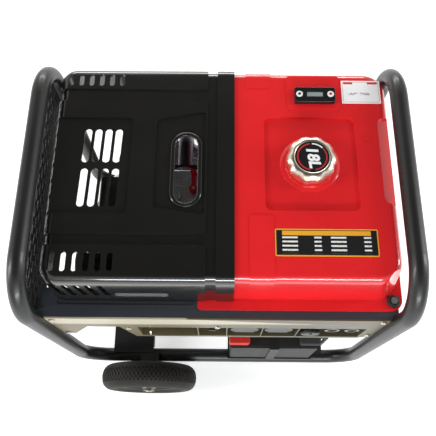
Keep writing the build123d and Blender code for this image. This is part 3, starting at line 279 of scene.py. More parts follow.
def panel_print(name):
    """Printed front: a cream sweep along the top of a khaki band, and a bronze field under it."""
    finish = Finish(name, coat_weight=0.1, coat_roughness=0.2)
    x, y, z = finish.axes()
    field_top = panel_high.z - 80 * MM
    across = (x - panel_low.x) / (panel_high.x - panel_low.x)
    khaki = finish.ramp(across, (0.0, (0.14, 0.11, 0.052)), (0.5, (0.11, 0.09, 0.042)),
                        (0.8, (0.075, 0.066, 0.036)),
                        (1.0, (0.1, 0.085, 0.045)))
    sweep = finish.step(across, 0.25, 0.8)
    low = panel_high.z - 50 * MM + sweep * 12 * MM
    high = panel_high.z + 4 * MM - finish.step(across, 0.3, 0.84) * 40 * MM
    stripe = finish.step(z, low, low + 0.8 * MM) * (1 - finish.step(z, high, high + 0.8 * MM))
    stripe = stripe * (1 - finish.step(across, 0.76, 0.8))
    face = finish.mix(stripe, khaki, (0.47, 0.415, 0.3))
    thin = finish.inside(z - low, -5 * MM, -3.4 * MM) * (1 - finish.step(across, 0.78, 0.9))
    face = finish.mix(thin, face, (0.36, 0.31, 0.2))
    field = 1 - finish.step(z, field_top - 0.5 * MM, field_top + 0.5 * MM)
    sunk = finish.step(y, tray_face - 2 * MM, tray_face - 1 * MM)
    face = finish.mix(field * sunk, face, (0.045, 0.042, 0.034))
    finish.set(base_color=face)
    grain = finish.noise(350, 4, (12, 1, 1))
    finish.set(roughness=0.42 + (grain - 0.5) * 0.2)
    finish.bump(grain, 0.05, 0.0003)
    return finish.material


def label_print(name, low, high):
    """Black plate with a gold frame, a gold header and rows of pale bars."""
    finish = Finish(name, roughness=0.3, coat_weight=0.4, coat_roughness=0.1)
    x, y = finish.axes()[:2]
    u = (x - low.x) / (high.x - low.x)
    v = (y - low.y) / (high.y - low.y)
    black, gold, pale = (0.012, 0.012, 0.013), (0.85, 0.4, 0.03), (0.85, 0.84, 0.8)
    inner = finish.inside(u, 0.012, 0.988, 0.002) * finish.inside(v, 0.045, 0.955, 0.006)
    face = finish.mix(inner, gold, black)
    header = finish.inside(u, 0.07, 0.93, 0.002) * finish.inside(v, 0.76, 0.93, 0.008)
    face = finish.mix(header, face, gold)
    row = finish.node("ShaderNodeMath", {"operation": "FRACT"}, {0: v * 6.6})
    rows = finish.inside(row, 0.3, 0.72, 0.05) * finish.inside(v, 0.11, 0.74, 0.005)
    widths = finish.noise(60, 1, (4, 1, 1)) * 0.08
    columns = finish.inside(u, 0.07, 0.22, 0.002) + finish.inside(u, 0.38, 0.45, 0.002)
    columns = columns + finish.inside(u, 0.54, 0.69, 0.002) + finish.inside(u, 0.86, 0.93, 0.002)
    ragged = finish.step(finish.noise(520, 2) + widths, 0.36, 0.42)
    finish.set(base_color=finish.mix(rows * columns * ragged, face, pale))
    return finish.material


def sticker_print(name, low, high):
    """White plate with a red frame line, a red header and a few small grey marks."""
    finish = Finish(name, roughness=0.35, coat_weight=0.3, coat_roughness=0.1)
    x, y = finish.axes()[:2]
    u = (x - low.x) / (high.x - low.x)
    v = (y - low.y) / (high.y - low.y)
    white, red, grey = (0.97, 0.97, 0.97), (0.7, 0.03, 0.04), (0.3, 0.28, 0.29)
    outer = finish.inside(u, 0.03, 0.97, 0.004) * finish.inside(v, 0.05, 0.95, 0.006)
    inner = finish.inside(u, 0.045, 0.955, 0.004) * finish.inside(v, 0.075, 0.925, 0.006)
    face = finish.mix((outer - inner) * 0.6, white, red)
    header = finish.inside(v, 0.84, 0.93, 0.01) * finish.inside(u, 0.06, 0.94, 0.004)
    face = finish.mix(header * (1 - finish.inside(u, 0.3, 0.68, 0.004)), face, red)
    marks = finish.inside(v, 0.36, 0.48, 0.02) * finish.step(finish.noise(330, 1), 0.5, 0.56)
    marks = marks * finish.inside(u, 0.12, 0.72, 0.01)
    finish.set(base_color=finish.mix(marks * 0.8, face, grey))
    return finish.material


def badge_print(name, centre, radius):
    """Cap badge: black disc, a broken red ring and a pale arc."""
    finish = Finish(name, roughness=0.22, coat_weight=0.7, coat_roughness=0.05)
    x, y = finish.axes()[:2]
    dx, dy = x - centre.x, y - centre.y
    away = (dx * dx + dy * dy) ** 0.5 / radius
    angle = finish.node("ShaderNodeMath", {"operation": "ARCTAN2"}, {0: dy, 1: dx})
    ring = finish.inside(away, 0.8, 0.88, 0.01)
    red = ring * (finish.inside(angle, 1.7, 3.3, 0.03) + finish.inside(angle, -3.3, -1.75, 0.03))
    pale = ring * finish.inside(angle, 0.75, 1.55, 0.03)
    thin = ring * finish.inside(angle, -1.4, 0.7, 0.03)
    face = finish.mix(red, (0.012, 0.012, 0.013), (0.6, 0.03, 0.03))
    face = finish.mix(thin, face, (0.45, 0.03, 0.03))
    finish.set(base_color=finish.mix(pale, face, (0.85, 0.85, 0.85)))
    finish.bump(finish.noise(800, 3), 0.03, 0.0002)
    return finish.material


def smoked_window(name, colour):
    """Small window, darker in random patches."""
    finish = Finish(name, roughness=0.12, coat_weight=1.0, coat_roughness=0.03)
    shade = finish.noise(120, 2)
    finish.set(base_color=finish.mix(shade, [c * 0.7 for c in colour], colour))
    return finish.material


def floor_paper(name):
    """Seamless pale backdrop."""
    finish = Finish(name, roughness=0.7)
    cloud = finish.noise(1.5, 3)
    finish.set(base_color=finish.mix(cloud, (0.9, 0.9, 0.892), (0.93, 0.93, 0.925)))
    finish.set(emission_color=(1, 1, 0.995), emission_strength=0.42)
    return finish.material


black_tube = enamel("black_tube", (0.009, 0.009, 0.0092), 0.4, peel=0.04, dust=0.0, coat=0.15)
# Painted reflection: the rail is gloss black enamel, and its lighter blue-grey base colour paints in the
# blue-grey reflection that it shows.
rail_painted_reflection = enamel("rail_painted_reflection", (0.045, 0.05, 0.06), 0.3, peel=0.04, dust=0.0)
black_sheet = enamel("black_sheet", (0.0095, 0.0093, 0.008), 0.2, peel=0.03, dust=0.0, coat=1.0)
black_guard = enamel("black_guard", (0.003, 0.003, 0.003), 0.7, peel=0.03, dust=0.0, coat=0.0)
black_rim = enamel("black_rim", (0.012, 0.01, 0.006), 0.6, peel=0.06, coat=0.0)
dull_black = enamel("dull_black", (0.008, 0.008, 0.0085), 0.55, peel=0.1, coat=0.0)
tank_red = enamel("tank_red", (0.8, 0.019, 0.023), 0.17, peel=0.02, dust=0.0, coat=0.8)
front_print = panel_print("front_print")
chrome = plated("chrome", (0.82, 0.79, 0.74), 0.14, (1, 1, 8))
zinc = plated("zinc", (0.56, 0.56, 0.54), 0.32, (6, 1, 1))
ground_steel = machined("ground_steel", (0.5, 0.5, 0.52), 1200)
brass = machined("brass", (0.78, 0.52, 0.2), 1500)
alloy = cast_metal("alloy", (0.62, 0.63, 0.65), 0.38, 0.85)
bright_alloy = cast_metal("bright_alloy", (0.74, 0.76, 0.8), 0.3, 0.9)
iron = cast_metal("iron", (0.05, 0.05, 0.052), 0.55, 0.3)
muffler_steel = heated_steel("muffler_steel", -0.05, 0.3)
tyre = tyre_rubber("tyre")
rubber = moulded("rubber", (0.02, 0.02, 0.02), 0.7)
red_rubber = moulded("red_rubber", (0.62, 0.025, 0.015), 0.45)
black_plastic = moulded("black_plastic", (0.018, 0.018, 0.019), 0.42)
gloss_plastic = moulded("gloss_plastic", (0.01, 0.01, 0.011), 0.16, grain=0.02)
grey_plastic = moulded("grey_plastic", (0.07, 0.07, 0.068), 0.5)
smoke_plastic = moulded("smoke_plastic", (0.008, 0.0075, 0.006), 0.62, grain=0.05)
red_plastic = moulded("red_plastic", (0.72, 0.01, 0.012), 0.25, grain=0.03)
white_print = moulded("white_print", (0.85, 0.85, 0.84), 0.35, grain=0.02)
cord_black = moulded("cord_black", (0.015, 0.015, 0.016), 0.5, grain=0.2)

NODE_FINISH = {
    black_tube: ["frame_left_tube", "frame_right_tube", "stand_legs", "axle_brackets"],
    rail_painted_reflection: ["tank_rails"],
    black_sheet: ["fan_shroud", "recoil_cover", "top_cover"],
    black_guard: ["end_guard"],
    black_rim: ["front_rim", "rear_rim"],
    dull_black: ["crossmembers", "engine_skid", "panel_box", "battery_tray"],
    tank_red: ["fuel_tank_upper", "fuel_tank_lower"],
    front_print: ["control_panel"],
    chrome: ["fuel_cap", "key_switch", "ignition_key"],
    zinc: ["bolts_and_screws", "axle_stubs", "starter_motor", "injection_pump", "alternator_stator"],
    ground_steel: ["crankshaft", "alternator_rotor"],
    brass: ["weld_contacts"],
    alloy: ["crankcase", "cylinder_head", "alternator_adapter", "alternator_end_bell"],
    bright_alloy: ["rocker_cover"],
    iron: ["cylinder", "flywheel"],
    muffler_steel: ["muffler", "exhaust_pipe"],
    tyre: ["front_tyre", "rear_tyre"],
    rubber: ["rubber_feet", "rubber_mounts", "cap_seal", "battery_minus_boot"],
    red_rubber: ["battery_plus_boot"],
    black_plastic: ["recoil_handle", "air_cleaner", "current_dial", "breaker_lever"],
    gloss_plastic: ["air_cleaner_lid", "fuel_gauge", "voltmeter", "weld_sockets"],
    grey_plastic: ["breaker", "ac_sockets", "left_socket_lid", "right_socket_lid"],
    smoke_plastic: ["battery_case"],
    red_plastic: ["decompression_lever"],
    cord_black: ["battery_cables"],
}


def finish_nodes():
    """Gives each carried-over piece its finish."""
    for material, names in NODE_FINISH.items():
        for name in names:
            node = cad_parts[name]
            node.data.materials.clear()
            node.data.materials.append(material)


# Mesh helpers ------------------------------------------------------------------------------------
def mm(*values):
    return Vector([v * MM for v in values])


def add_block(bm, low, high):
    """A box between two corners."""
    low, high = Vector(low), Vector(high)
    verts = bmesh.ops.create_cube(bm, size=1)["verts"]
    bmesh.ops.scale(bm, verts=verts, vec=high - low)
    bmesh.ops.translate(bm, verts=verts, vec=(low + high) / 2)
    return verts


def edges_of(verts):
    return list({edge for vert in verts for edge in vert.link_edges})


def upright(edges):
    return [e for e in edges if abs(e.verts[0].co.z - e.verts[1].co.z) > 0.9 * e.calc_length() > 0]


def round_edges(bm, edges, radius, segments=6):
    return bmesh.ops.bevel(bm, geom=edges, offset=radius, segments=segments, affect="EDGES", profile=0.5,
                           material=-1, clamp_overlap=True)


def rim_at(bm, z):
    """The outer edges of the level faces at height z."""
    level = [f for f in bm.faces if abs(f.calc_center_median().z - z) < 1e-5 and abs(f.normal.z) > 0.9]
    return [e for e in bm.edges if sum(f in level for f in e.link_faces) == 1]


def pressed_block(low, high, corner, lean, shoulder, keep_right=False, left_corner=None):
    """A closed block with leaning walls, round upright corners and a round shoulder."""
    bm = bmesh.new()
    verts = add_block(bm, low, high)
    middle = (Vector(low) + Vector(high)) / 2
    for vert in verts:
        if vert.co.z > middle.z:
            if vert.co.x < middle.x or not keep_right:
                vert.co.x -= math.copysign(lean.x, vert.co.x - middle.x)
            vert.co.y -= math.copysign(lean.y, vert.co.y - middle.y)
    corners = upright(bm.edges)
    left = [e for e in corners if e.verts[0].co.x < middle.x]
    if not keep_right:
        round_edges(bm, [e for e in corners if e not in left], corner, 9)
    round_edges(bm, left, left_corner or corner, 8)
    bm.normal_update()
    rim = rim_at(bm, high[2])
    if keep_right:
        rim = [e for e in rim if min(e.verts[0].co.x, e.verts[1].co.x) < high[0] - 1e-4]
    round_edges(bm, rim, shoulder, 7)
    return bm


def add_slot(bm, centre, length, width, low_z, high_z, turn=0.0):
    """An upright round-ended prism whose length runs along Y before it turns."""
    cx, cy = centre
    half = Vector((width / 2, length / 2, 0))
    verts = add_block(bm, (-half.x, -half.y, low_z), (half.x, half.y, high_z))
    made = round_edges(bm, upright(edges_of(verts)), width * 0.49, 6)
    verts = list({v for v in made["verts"]} | {v for v in verts if v.is_valid})
    bmesh.ops.rotate(bm, verts=verts, cent=(0, 0, 0), matrix=Matrix.Rotation(turn, 3, "Z"))
    bmesh.ops.translate(bm, verts=verts, vec=(cx, cy, 0))
    return verts


def add_plate(bm, points, low_z, high_z, corner):
    """An upright prism over a convex outline with rounded corners."""
    verts = [bm.verts.new((x, y, low_z)) for x, y in points]
    face = bm.faces.new(verts)
    grown = bmesh.ops.extrude_face_region(bm, geom=[face])["geom"]
    top = [g for g in grown if isinstance(g, bmesh.types.BMVert)]
    bmesh.ops.translate(bm, verts=top, vec=(0, 0, high_z - low_z))
    round_edges(bm, upright(edges_of(verts)), corner, 5)
    bmesh.ops.recalc_face_normals(bm, faces=bm.faces)


def add_turned(bm, profile, centre, axis="Z", steps=64):
    """A closed ring or disc: profile holds (radius, height) pairs, turned about an axis through centre."""
    verts = [bm.verts.new((r, 0, h)) for r, h in profile]
    edges = [bm.edges.new(pair) for pair in zip(verts, verts[1:])]
    bmesh.ops.spin(bm, geom=verts + edges, cent=(0, 0, 0), axis=(0, 0, 1), angle=2 * math.pi,
                   steps=steps, use_merge=True)
    whole = list({v for e in bm.edges for v in e.verts if e.is_valid and v.is_valid} & grown_from(verts))
    bmesh.ops.remove_doubles(bm, verts=whole, dist=1e-6)
    whole = [v for v in whole if v.is_valid]
    turn = {"Z": Matrix.Identity(3), "Y": Matrix.Rotation(math.radians(90), 3, "X"),
            "X": Matrix.Rotation(math.radians(90), 3, "Y")}[axis]
    bmesh.ops.rotate(bm, verts=whole, cent=(0, 0, 0), matrix=turn)
    bmesh.ops.translate(bm, verts=whole, vec=centre)
    bmesh.ops.recalc_face_normals(bm, faces=list({f for v in whole for f in v.link_faces}))
    return whole


def grown_from(seeds):
    """Every vertex joined to the seeds."""
    found, waiting = set(seeds), list(seeds)
    while waiting:
        for edge in waiting.pop().link_edges:
            for vert in edge.verts:
                if vert not in found:
                    found.add(vert)
                    waiting.append(vert)
    return found


def to_object(bm, name, material=None):
    """A mesh object at the origin from a bmesh."""
    mesh = bpy.data.meshes.new(name)
    bmesh.ops.recalc_face_normals(bm, faces=bm.faces)
    bm.to_mesh(mesh)
    bm.free()
    made = bpy.data.objects.new(name, mesh)
    bpy.context.scene.collection.objects.link(made)
    if material:
        mesh.materials.append(material)
    return made


def settle(piece):
    """Turns a piece's modifiers into its mesh."""
    mesh = bpy.data.meshes.new_from_object(piece.evaluated_get(bpy.context.evaluated_depsgraph_get()))
    piece.modifiers.clear()
    piece.data = mesh


def cut(piece, tool, operation="DIFFERENCE"):
    """Takes the tool's shape from a piece, adds it, or keeps what both hold. The tool is used up."""
    step = piece.modifiers.new("cut", "BOOLEAN")
    step.operation = operation
    step.solver = "EXACT"
    step.object = tool
    bpy.context.view_layer.update()
    settle(piece)
    bpy.data.objects.remove(tool)


def tidy_mesh(piece):
    """Joins stray points and level facets that the cuts leave."""
    bm = bmesh.new()
    bm.from_mesh(piece.data)
    bmesh.ops.remove_doubles(bm, verts=bm.verts, dist=0.03 * MM)
    bmesh.ops.dissolve_limit(bm, angle_limit=math.radians(0.6), verts=bm.verts, edges=bm.edges)
    bmesh.ops.dissolve_degenerate(bm, dist=0.03 * MM, edges=bm.edges)
    bm.to_mesh(piece.data)
    bm.free()


def soften(piece, radius, segments=3, angle=28):
    """Small radius on each crisp edge, and even shading."""
    for polygon in piece.data.polygons:
        polygon.use_smooth = True
    if radius:
        bevel = piece.modifiers.new("edges", "BEVEL")
        bevel.width = radius
        bevel.segments = segments
        bevel.limit_method = "ANGLE"
        bevel.angle_limit = math.radians(angle)
        bevel.harden_normals = False
        bevel.use_clamp_overlap = True
    shading = piece.modifiers.new("shading", "WEIGHTED_NORMAL")
    shading.keep_sharp = True
    shading.weight = 100


def add_piece(piece, body=FIXED, stands_for=()):
    """A finished piece rides on its body and may stand for carried-over ones."""
    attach(piece, body)
    if stands_for:
        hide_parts(*stands_for)
    return piece


# Engine cover ------------------------------------------------------------------------------------
def cover_body(drop, top_drop):
    """The cover's outer shape, drawn in by drop at the sides and top_drop at the top."""
    low = Vector((cover_low.x + drop, cover_low.y + drop, cover_low.z))
    high = Vector((cover_high.x, cover_high.y - drop, cover_high.z - top_drop))
    return pressed_block(low, high, 30 * MM - drop, mm(4, 11), 16 * MM, keep_right=True)


def cover_fields():
    """Slabs that the raised fields of the cover fill: rear, middle, front and the strap at the joint."""
    bm = bmesh.new()
    left, right = cover_low.x - 10 * MM, cover_high.x + 10 * MM
    field_right = -21 * MM
    tall = (500 * MM, 700 * MM)
    add_block(bm, (left, 183 * MM, tall[0]), (field_right, 300 * MM, tall[1]))
    add_block(bm, (left, -107 * MM, 640 * MM), (field_right, 158 * MM, tall[1]))
    add_block(bm, (left, -300 * MM, tall[0]), (field_right, -127 * MM, tall[1]))
    add_block(bm, (-3 * MM, -300 * MM, tall[0]), (right, 300 * MM, tall[1]))
    return bm


def cover_hollows():
    """Shallow pressings: round the port, round the vents, and on the front face."""
    bm = bmesh.new()
    top = cover_high.z
    depth = 3.8 * MM
    port = [(-115, 118), (-24, 136), (-24, -72), (-115, -58)]
    add_plate(bm, [mm(x, y) for x, y in port], top - depth, top + 20 * MM, 8 * MM)
    vents = [(-320, 121), (-158, 121), (-160, -69), (-320, -71)]
    add_plate(bm, [mm(x, y) for x, y in vents], top - depth, top + 20 * MM, 8 * MM)
    face = add_block(bm, mm(-183, -230, 580), mm(-85, -195.5, 636))
    round_edges(bm, edges_of(face), 6 * MM, 3)
    return bm


def cover_openings():
    """Vents through the top, the port over the rocker cover, and the slots in the front face."""
    bm = bmesh.new()
    low_z, high_z = cover_high.z - 30 * MM, cover_high.z + 20 * MM
    for i in range(4):
        lean = math.radians(-2)
        add_slot(bm, (-240 * MM + i * 18.7 * MM, 64 * MM), 68 * MM, 13 * MM, low_z, high_z, lean)
        add_slot(bm, (-241.5 * MM + i * 18.7 * MM, -19 * MM), 74 * MM, 13 * MM, low_z, high_z, lean)
    for i in range(6):
        add_slot(bm, (-281 * MM + i * 19.4 * MM, 202 * MM), 25 * MM, 10 * MM, low_z, high_z)
        add_slot(bm, (-281 * MM + i * 19.8 * MM, -157 * MM), 34 * MM, 10 * MM, low_z, high_z)
    add_slot(bm, mm(-60, 18).to_tuple(), 136 * MM, 44 * MM, low_z, high_z)
    for i in range(5):
        verts = add_slot(bm, (0, 0), 50 * MM, 10 * MM, -30 * MM, 30 * MM, math.radians(14))
        bmesh.ops.rotate(bm, verts=verts, cent=(0, 0, 0), matrix=Matrix.Rotation(math.radians(90), 3, "X"))
        bmesh.ops.translate(bm, verts=verts, vec=mm(-277 + i * 20, -200, 609))
    return bm


def engine_cover():
    """Pressed cover over the engine, with raised fields, vents and a port."""
    fields = to_object(cover_body(0, 0), "fields")
    cut(fields, to_object(cover_fields(), "slabs"), "INTERSECT")
    cover = to_object(cover_body(2.6 * MM, 3.6 * MM), "engine_cover", black_sheet)
    cut(cover, fields, "UNION")
    cut(cover, to_object(cover_hollows(), "hollows"))
    inner_low = Vector((cover_low.x + 5 * MM, cover_low.y + 5 * MM, cover_low.z - 5 * MM))
    inner_high = Vector((cover_high.x + 40 * MM, cover_high.y - 5 * MM, cover_high.z - 5.4 * MM))
    inner = pressed_block(inner_low, inner_high, 25 * MM, mm(4, 11), 12 * MM, keep_right=True)
    cut(cover, to_object(inner, "inner"))
    cut(cover, to_object(cover_openings(), "openings"))
    notch = bmesh.new()
    add_block(notch, (-37 * MM, -1, cover_low.z - 10 * MM), (1, 1, flange_top))
    cut(cover, to_object(notch, "notch"))
    tidy_mesh(cover)
    soften(cover, SOFT_EDGE, 3)
    return add_piece(cover, FIXED, ("top_cover",))


def port_rim():
    """Rolled lip round the port."""
    bm = bmesh.new()
    add_slot(bm, (0, 0), 147 * MM, 57 * MM, 0, 4 * MM)
    piece = to_object(bm, "port_rim", black_sheet)
    inner = bmesh.new()
    add_slot(inner, (0, 0), 133 * MM, 41 * MM, -5 * MM, 10 * MM)
    cut(piece, to_object(inner, "inner"))
    piece.data.transform(Matrix.Translation((-58 * MM, 17.5 * MM, cover_high.z - 4.1 * MM)))
    tidy_mesh(piece)
    soften(piece, 1.9 * MM, 4, 40)
    return add_piece(piece, FIXED, ())


# Fuel tank ---------------------------------------------------------------------------------------
def tank_shell():
    """Pressed tank top: band, dish, gauge pad, side hollow, bolt hollow and filler."""
    low = Vector((-2 * MM, -197 * MM, flange_top - 1 * MM))
    high = Vector((325 * MM, 236 * MM, tank_top))
    lean = mm(11, 11)
    tank = to_object(pressed_block(low, high, 40 * MM, lean, 15 * MM, False, 14 * MM), "tank_shell", tank_red)

    grow = mm(1.3, 1.3, 0)
    grown = pressed_block(low - grow, high + grow + mm(0, 0, 1.3), 40 * MM, lean, 15 * MM, False, 14 * MM)
    band = to_object(grown, "band")
    slabs = bmesh.new()
    add_block(slabs, mm(54, -300, 560), mm(97, -69, 700))
    add_block(slabs, mm(50, 190, 560), mm(97, 300, 700))
    cut(band, to_object(slabs, "slabs"), "INTERSECT")
    cut(tank, band, "UNION")

    pads = bmesh.new()
    add_plate(pads, [mm(x, y) for x, y in ((127, 144), (227, 144), (227, 216), (127, 216))], 640 * MM,
              tank_top + 2 * MM, 7 * MM)
    cut(tank, to_object(pads, "pads"), "UNION")
    mark = bmesh.new()
    add_plate(mark, [mm(x, y) for x, y in ((261, 79), (277, 79), (277, 86), (261, 86))], 640 * MM,
              tank_top + 1.2 * MM, 2 * MM)
    cut(tank, to_object(mark, "mark"), "UNION")

    hollows = bmesh.new()
    dish = [mm(x, y) for x, y in ((83, -60), (250, -60), (250, 127), (83, 127))]
    add_plate(hollows, dish, tank_top - 6 * MM, 700 * MM, 12 * MM)
    cut(tank, to_object(hollows, "hollows"))
    side = bmesh.new()
    verts = add_block(side, mm(293, -47, 600), mm(350, 128, 700))
    round_edges(side, upright(edges_of(verts)), 16 * MM, 6)
    for vert in side.verts:
        if vert.co.z < 0.64:
            vert.co.z = tank_top - 1.5 * MM - 0.55 * (vert.co.x - 293 * MM)
    cut(tank, to_object(side, "side"))
    scallop = bmesh.new()
    cone = [(0, 0), (27 * MM, 0), (63 * MM, 150 * MM), (0, 150 * MM)]
    add_turned(scallop, cone, mm(330, -206, 556), steps=64)
    cut(tank, to_object(scallop, "scallop"))

    boss = bmesh.new()
    ring = [(0, -9), (54, -9), (54, -5.6), (50, -4), (46, -3.4), (40, -3), (35, 1.2), (31, 2), (0, 2)]
    add_turned(boss, [mm(r, h).to_tuple() for r, h in ring], Vector((filler.x, filler.y, tank_top)))
    cut(tank, to_object(boss, "boss"), "UNION")
    bore = bmesh.new()
    add_turned(bore, [(0, -40 * MM), (28 * MM, -40 * MM), (28 * MM, 30 * MM), (0, 30 * MM)],
               Vector((filler.x, filler.y, tank_top)))
    cut(tank, to_object(bore, "bore"))
    tidy_mesh(tank)
    soften(tank, 2.2 * MM, 4, 30)
    return add_piece(tank, FIXED, ("fuel_tank_upper",))


def tank_seam():
    """Rolled seam flange round the tank, with its ears."""
    bm = bmesh.new()
    verts = add_block(bm, mm(-6, -217, 556), mm(334, 245, 558))
    round_edges(bm, upright(edges_of(verts)), 22 * MM, 6)
    piece = to_object(bm, "tank_seam", tank_red)
    ears = bmesh.new()
    for y in (-197, 225):
        ear = add_block(ears, mm(-36, y - 20, 556), mm(24, y + 20, 558))
        round_edges(ears, upright(edges_of(ear)), 7 * MM, 5)
    cut(piece, to_object(ears, "ears"), "UNION")
    posts = bmesh.new()
    for y in (-237, 237):
        add_turned(posts, [(0, 0), (19 * MM, 0), (19 * MM, 1), (0, 1)], mm(329, y, 0), steps=48)
    cut(piece, to_object(posts, "posts"))
    opening = bmesh.new()
    verts = add_block(opening, mm(20, -170, 500), mm(305, 215, 600))
    cut(piece, to_object(opening, "opening"))
    tidy_mesh(piece)
    soften(piece, 0.8 * MM, 2)
    return add_piece(piece, FIXED, ())


# Fuel cap and gauge ------------------------------------------------------------------------------
def fuel_cap():
    """Lobed plated cap with a rolled crown and a sunk badge seat."""
    lobes, depth = 10, 1.5 * MM
    outer = (cap_high.x - cap_low.x) / 2
    height = cap_high.z - cap_low.z
    bm = bmesh.new()
    rim = [(33.5, 0.5), (42.0, 0.5), (45.0, 3), (46.3, 7), (46.4, 16), (44.5, 22), (40.5, 27),
           (36.5, 29), (33.5, 29.6), (31.6, 29.2), (31.0, 27.6), (0, 27.6)]
    rim += [(0, 25), (33.5, 25), (33.5, 0.5)]
    add_turned(bm, [mm(r, h).to_tuple() for r, h in rim], (0, 0, 0), steps=200)
    for vert in bm.verts:
        away = math.hypot(vert.co.x, vert.co.y)
        if away > 34.5 * MM:
            share = min(1, (away - 34.5 * MM) / (8 * MM))
            wave = (1 - math.cos(lobes * math.atan2(vert.co.y, vert.co.x))) / 2
            shrink = 1 - share * depth * wave ** 1.5 * 1.6 / away
            vert.co.x *= shrink
            vert.co.y *= shrink
    bmesh.ops.scale(bm, verts=bm.verts, vec=(outer / (46.5 * MM), outer / (46.5 * MM), height / (30 * MM)))
    bmesh.ops.translate(bm, verts=bm.verts, vec=(filler.x, filler.y, cap_low.z))
    piece = to_object(bm, "cap_crown", champagne)
    soften(piece, 0)
    return add_piece(piece, "cap", ("fuel_cap",))


def cap_badge():
    bm = bmesh.new()
    r = 30.6 * MM
    add_turned(bm, [(0, 0), (r, 0), (r, 0.9 * MM), (r - 0.6 * MM, 1.3 * MM), (0, 1.3 * MM)],
               Vector((filler.x, filler.y, cap_high.z - 2.5 * MM)), steps=96)
    piece = to_object(bm, "cap_badge", badge_print("badge_print", filler, r))
    soften(piece, 0)
    return add_piece(piece, "cap", ())


def lettering(name, words, size, place, turn, body, material, tilt=(0, 0, 0), thick=0.3 * MM):
    """Raised figures, made a mesh before they are put in place."""
    curve = bpy.data.curves.new(name, "FONT")
    curve.body = words
    curve.size = size
    curve.align_x = "CENTER"
    curve.align_y = "CENTER"
    curve.extrude = thick
    curve.offset = size * 0.036
    curve.shear = 0.2
    curve.resolution_u = 4
    source = bpy.data.objects.new(name, curve)
    bpy.context.scene.collection.objects.link(source)
    bpy.context.view_layer.update()
    mesh = bpy.data.meshes.new_from_object(source.evaluated_get(bpy.context.evaluated_depsgraph_get()))
    bpy.data.objects.remove(source)
    piece = bpy.data.objects.new(name, mesh)
    bpy.context.scene.collection.objects.link(piece)
    upright_turn = Matrix.Rotation(tilt[0], 4, "X") @ Matrix.Rotation(turn, 4, "Z")
    mesh.transform(Matrix.Translation(place) @ upright_turn)
    mesh.materials.clear()
    mesh.materials.append(material)
    return add_piece(piece, body, ())


def gauge_details():
    """Window and the two round ends of the fuel gauge."""
    middle = (gauge_low + gauge_high) / 2
    top = gauge_low.z + 9 * MM
    bm = bmesh.new()
    glass_middle = Vector((middle.x, middle.y, top - 1 * MM))
    add_block(bm, glass_middle - mm(15, 5, 0.5), glass_middle + mm(15, 5, 0.4))
    window = to_object(bm, "gauge_window", smoked_window("gauge_glass", (0.33, 0.4, 0.38)))
    soften(window, 0.2 * MM, 2)
    add_piece(window, FIXED, ())
    for side, centre_material in ((-1, white_print), (1, red_plastic)):
        ring = bmesh.new()
        spot = Vector((middle.x + side * 29 * MM, middle.y, top))
        outline = [(2.6, 0), (6.2, 0), (6.2, 1.4), (5.4, 2), (3.4, 2), (2.6, 1.4), (2.6, 0)]
        add_turned(ring, [mm(r, h).to_tuple() for r, h in outline], spot, steps=40)
        name = "gauge_ring_left" if side < 0 else "gauge_ring_right"
        piece = to_object(ring, name, white_print)
        soften(piece, 0)
        add_piece(piece, FIXED, ())
        dot = bmesh.new()
        outline = [(0, 0), (2.6, 0), (2.6, 1.9), (1.6, 2.6), (0, 2.6)]
        add_turned(dot, [mm(r, h).to_tuple() for r, h in outline], spot, steps=32)
        name = "gauge_pin_left" if side < 0 else "gauge_pin_right"
        pin = to_object(dot, name, centre_material if side > 0 else gloss_plastic)
        soften(pin, 0)
        add_piece(pin, FIXED, ())


def printed_plate(name, low, high, corner, print_maker):
    """A thin printed plate on the tank."""
    low, high = Vector(low), Vector(high)
    bm = bmesh.new()
    verts = add_block(bm, low, high)
    round_edges(bm, upright(edges_of(verts)), corner, 4)
    piece = to_object(bm, name, print_maker(name + "_print", low, high))
    soften(piece, 0.1 * MM, 1)
    return add_piece(piece, FIXED, ())


# Wheels ------------------------------------------------------------------------------------------
def tyre_piece(node, body):
    """Tyre with staggered rows of narrow tread blocks on its crown and smooth round flanks."""
    low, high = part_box(node)
    centre = (low + high) / 2
    outer = (high.z - low.z) / 2
    half = (high.y - low.y) / 2
    crown_share = (0.15, 0.33, 0.5)
    drops = (0.3, 1.1, 2.6)
    crown = [(outer - drop * MM, half * share) for drop, share in zip(drops, crown_share)]
    crown += [(outer - drop * MM, half * share) for drop, share in
              ((5.5, 0.68), (10, 0.83), (16, 0.94), (23, 0.99), (29, 0.985), (35, 0.9), (39, 0.82))]
    crown += [(71 * MM, half * 0.76), (69 * MM, half * 0.68)]
    profile = [(r, -y) for r, y in reversed(crown)] + [(outer, 0)] + crown
    steps = 144
    bm = bmesh.new()
    add_turned(bm, profile + [profile[0]], (0, 0, 0), axis="Z", steps=steps)
    bm.faces.ensure_lookup_table()
    grooves = []
    for face in bm.faces:
        middle = face.calc_center_median()
        share = abs(middle.z) / half
        if math.hypot(middle.x, middle.y) < outer - 4 * MM or share > crown_share[-1]:
            continue
        turn = math.floor(math.atan2(middle.y, middle.x) / (2 * math.pi) * steps)
        row = sum(share > edge for edge in crown_share)
        if (turn + row) % 2 == 0:
            grooves.append(face)
    bmesh.ops.inset_individual(bm, faces=grooves, thickness=0.4 * MM, depth=-1.6 * MM)
    bmesh.ops.rotate(bm, verts=bm.verts, cent=(0, 0, 0), matrix=Matrix.Rotation(math.radians(90), 3, "X"))
    bmesh.ops.translate(bm, verts=bm.verts, vec=centre)
    piece = to_object(bm, node + "_treaded", tyre)
    soften(piece, 0)
    piece.data.set_sharp_from_angle(angle=math.radians(38))
    return add_piece(piece, body, (node,))


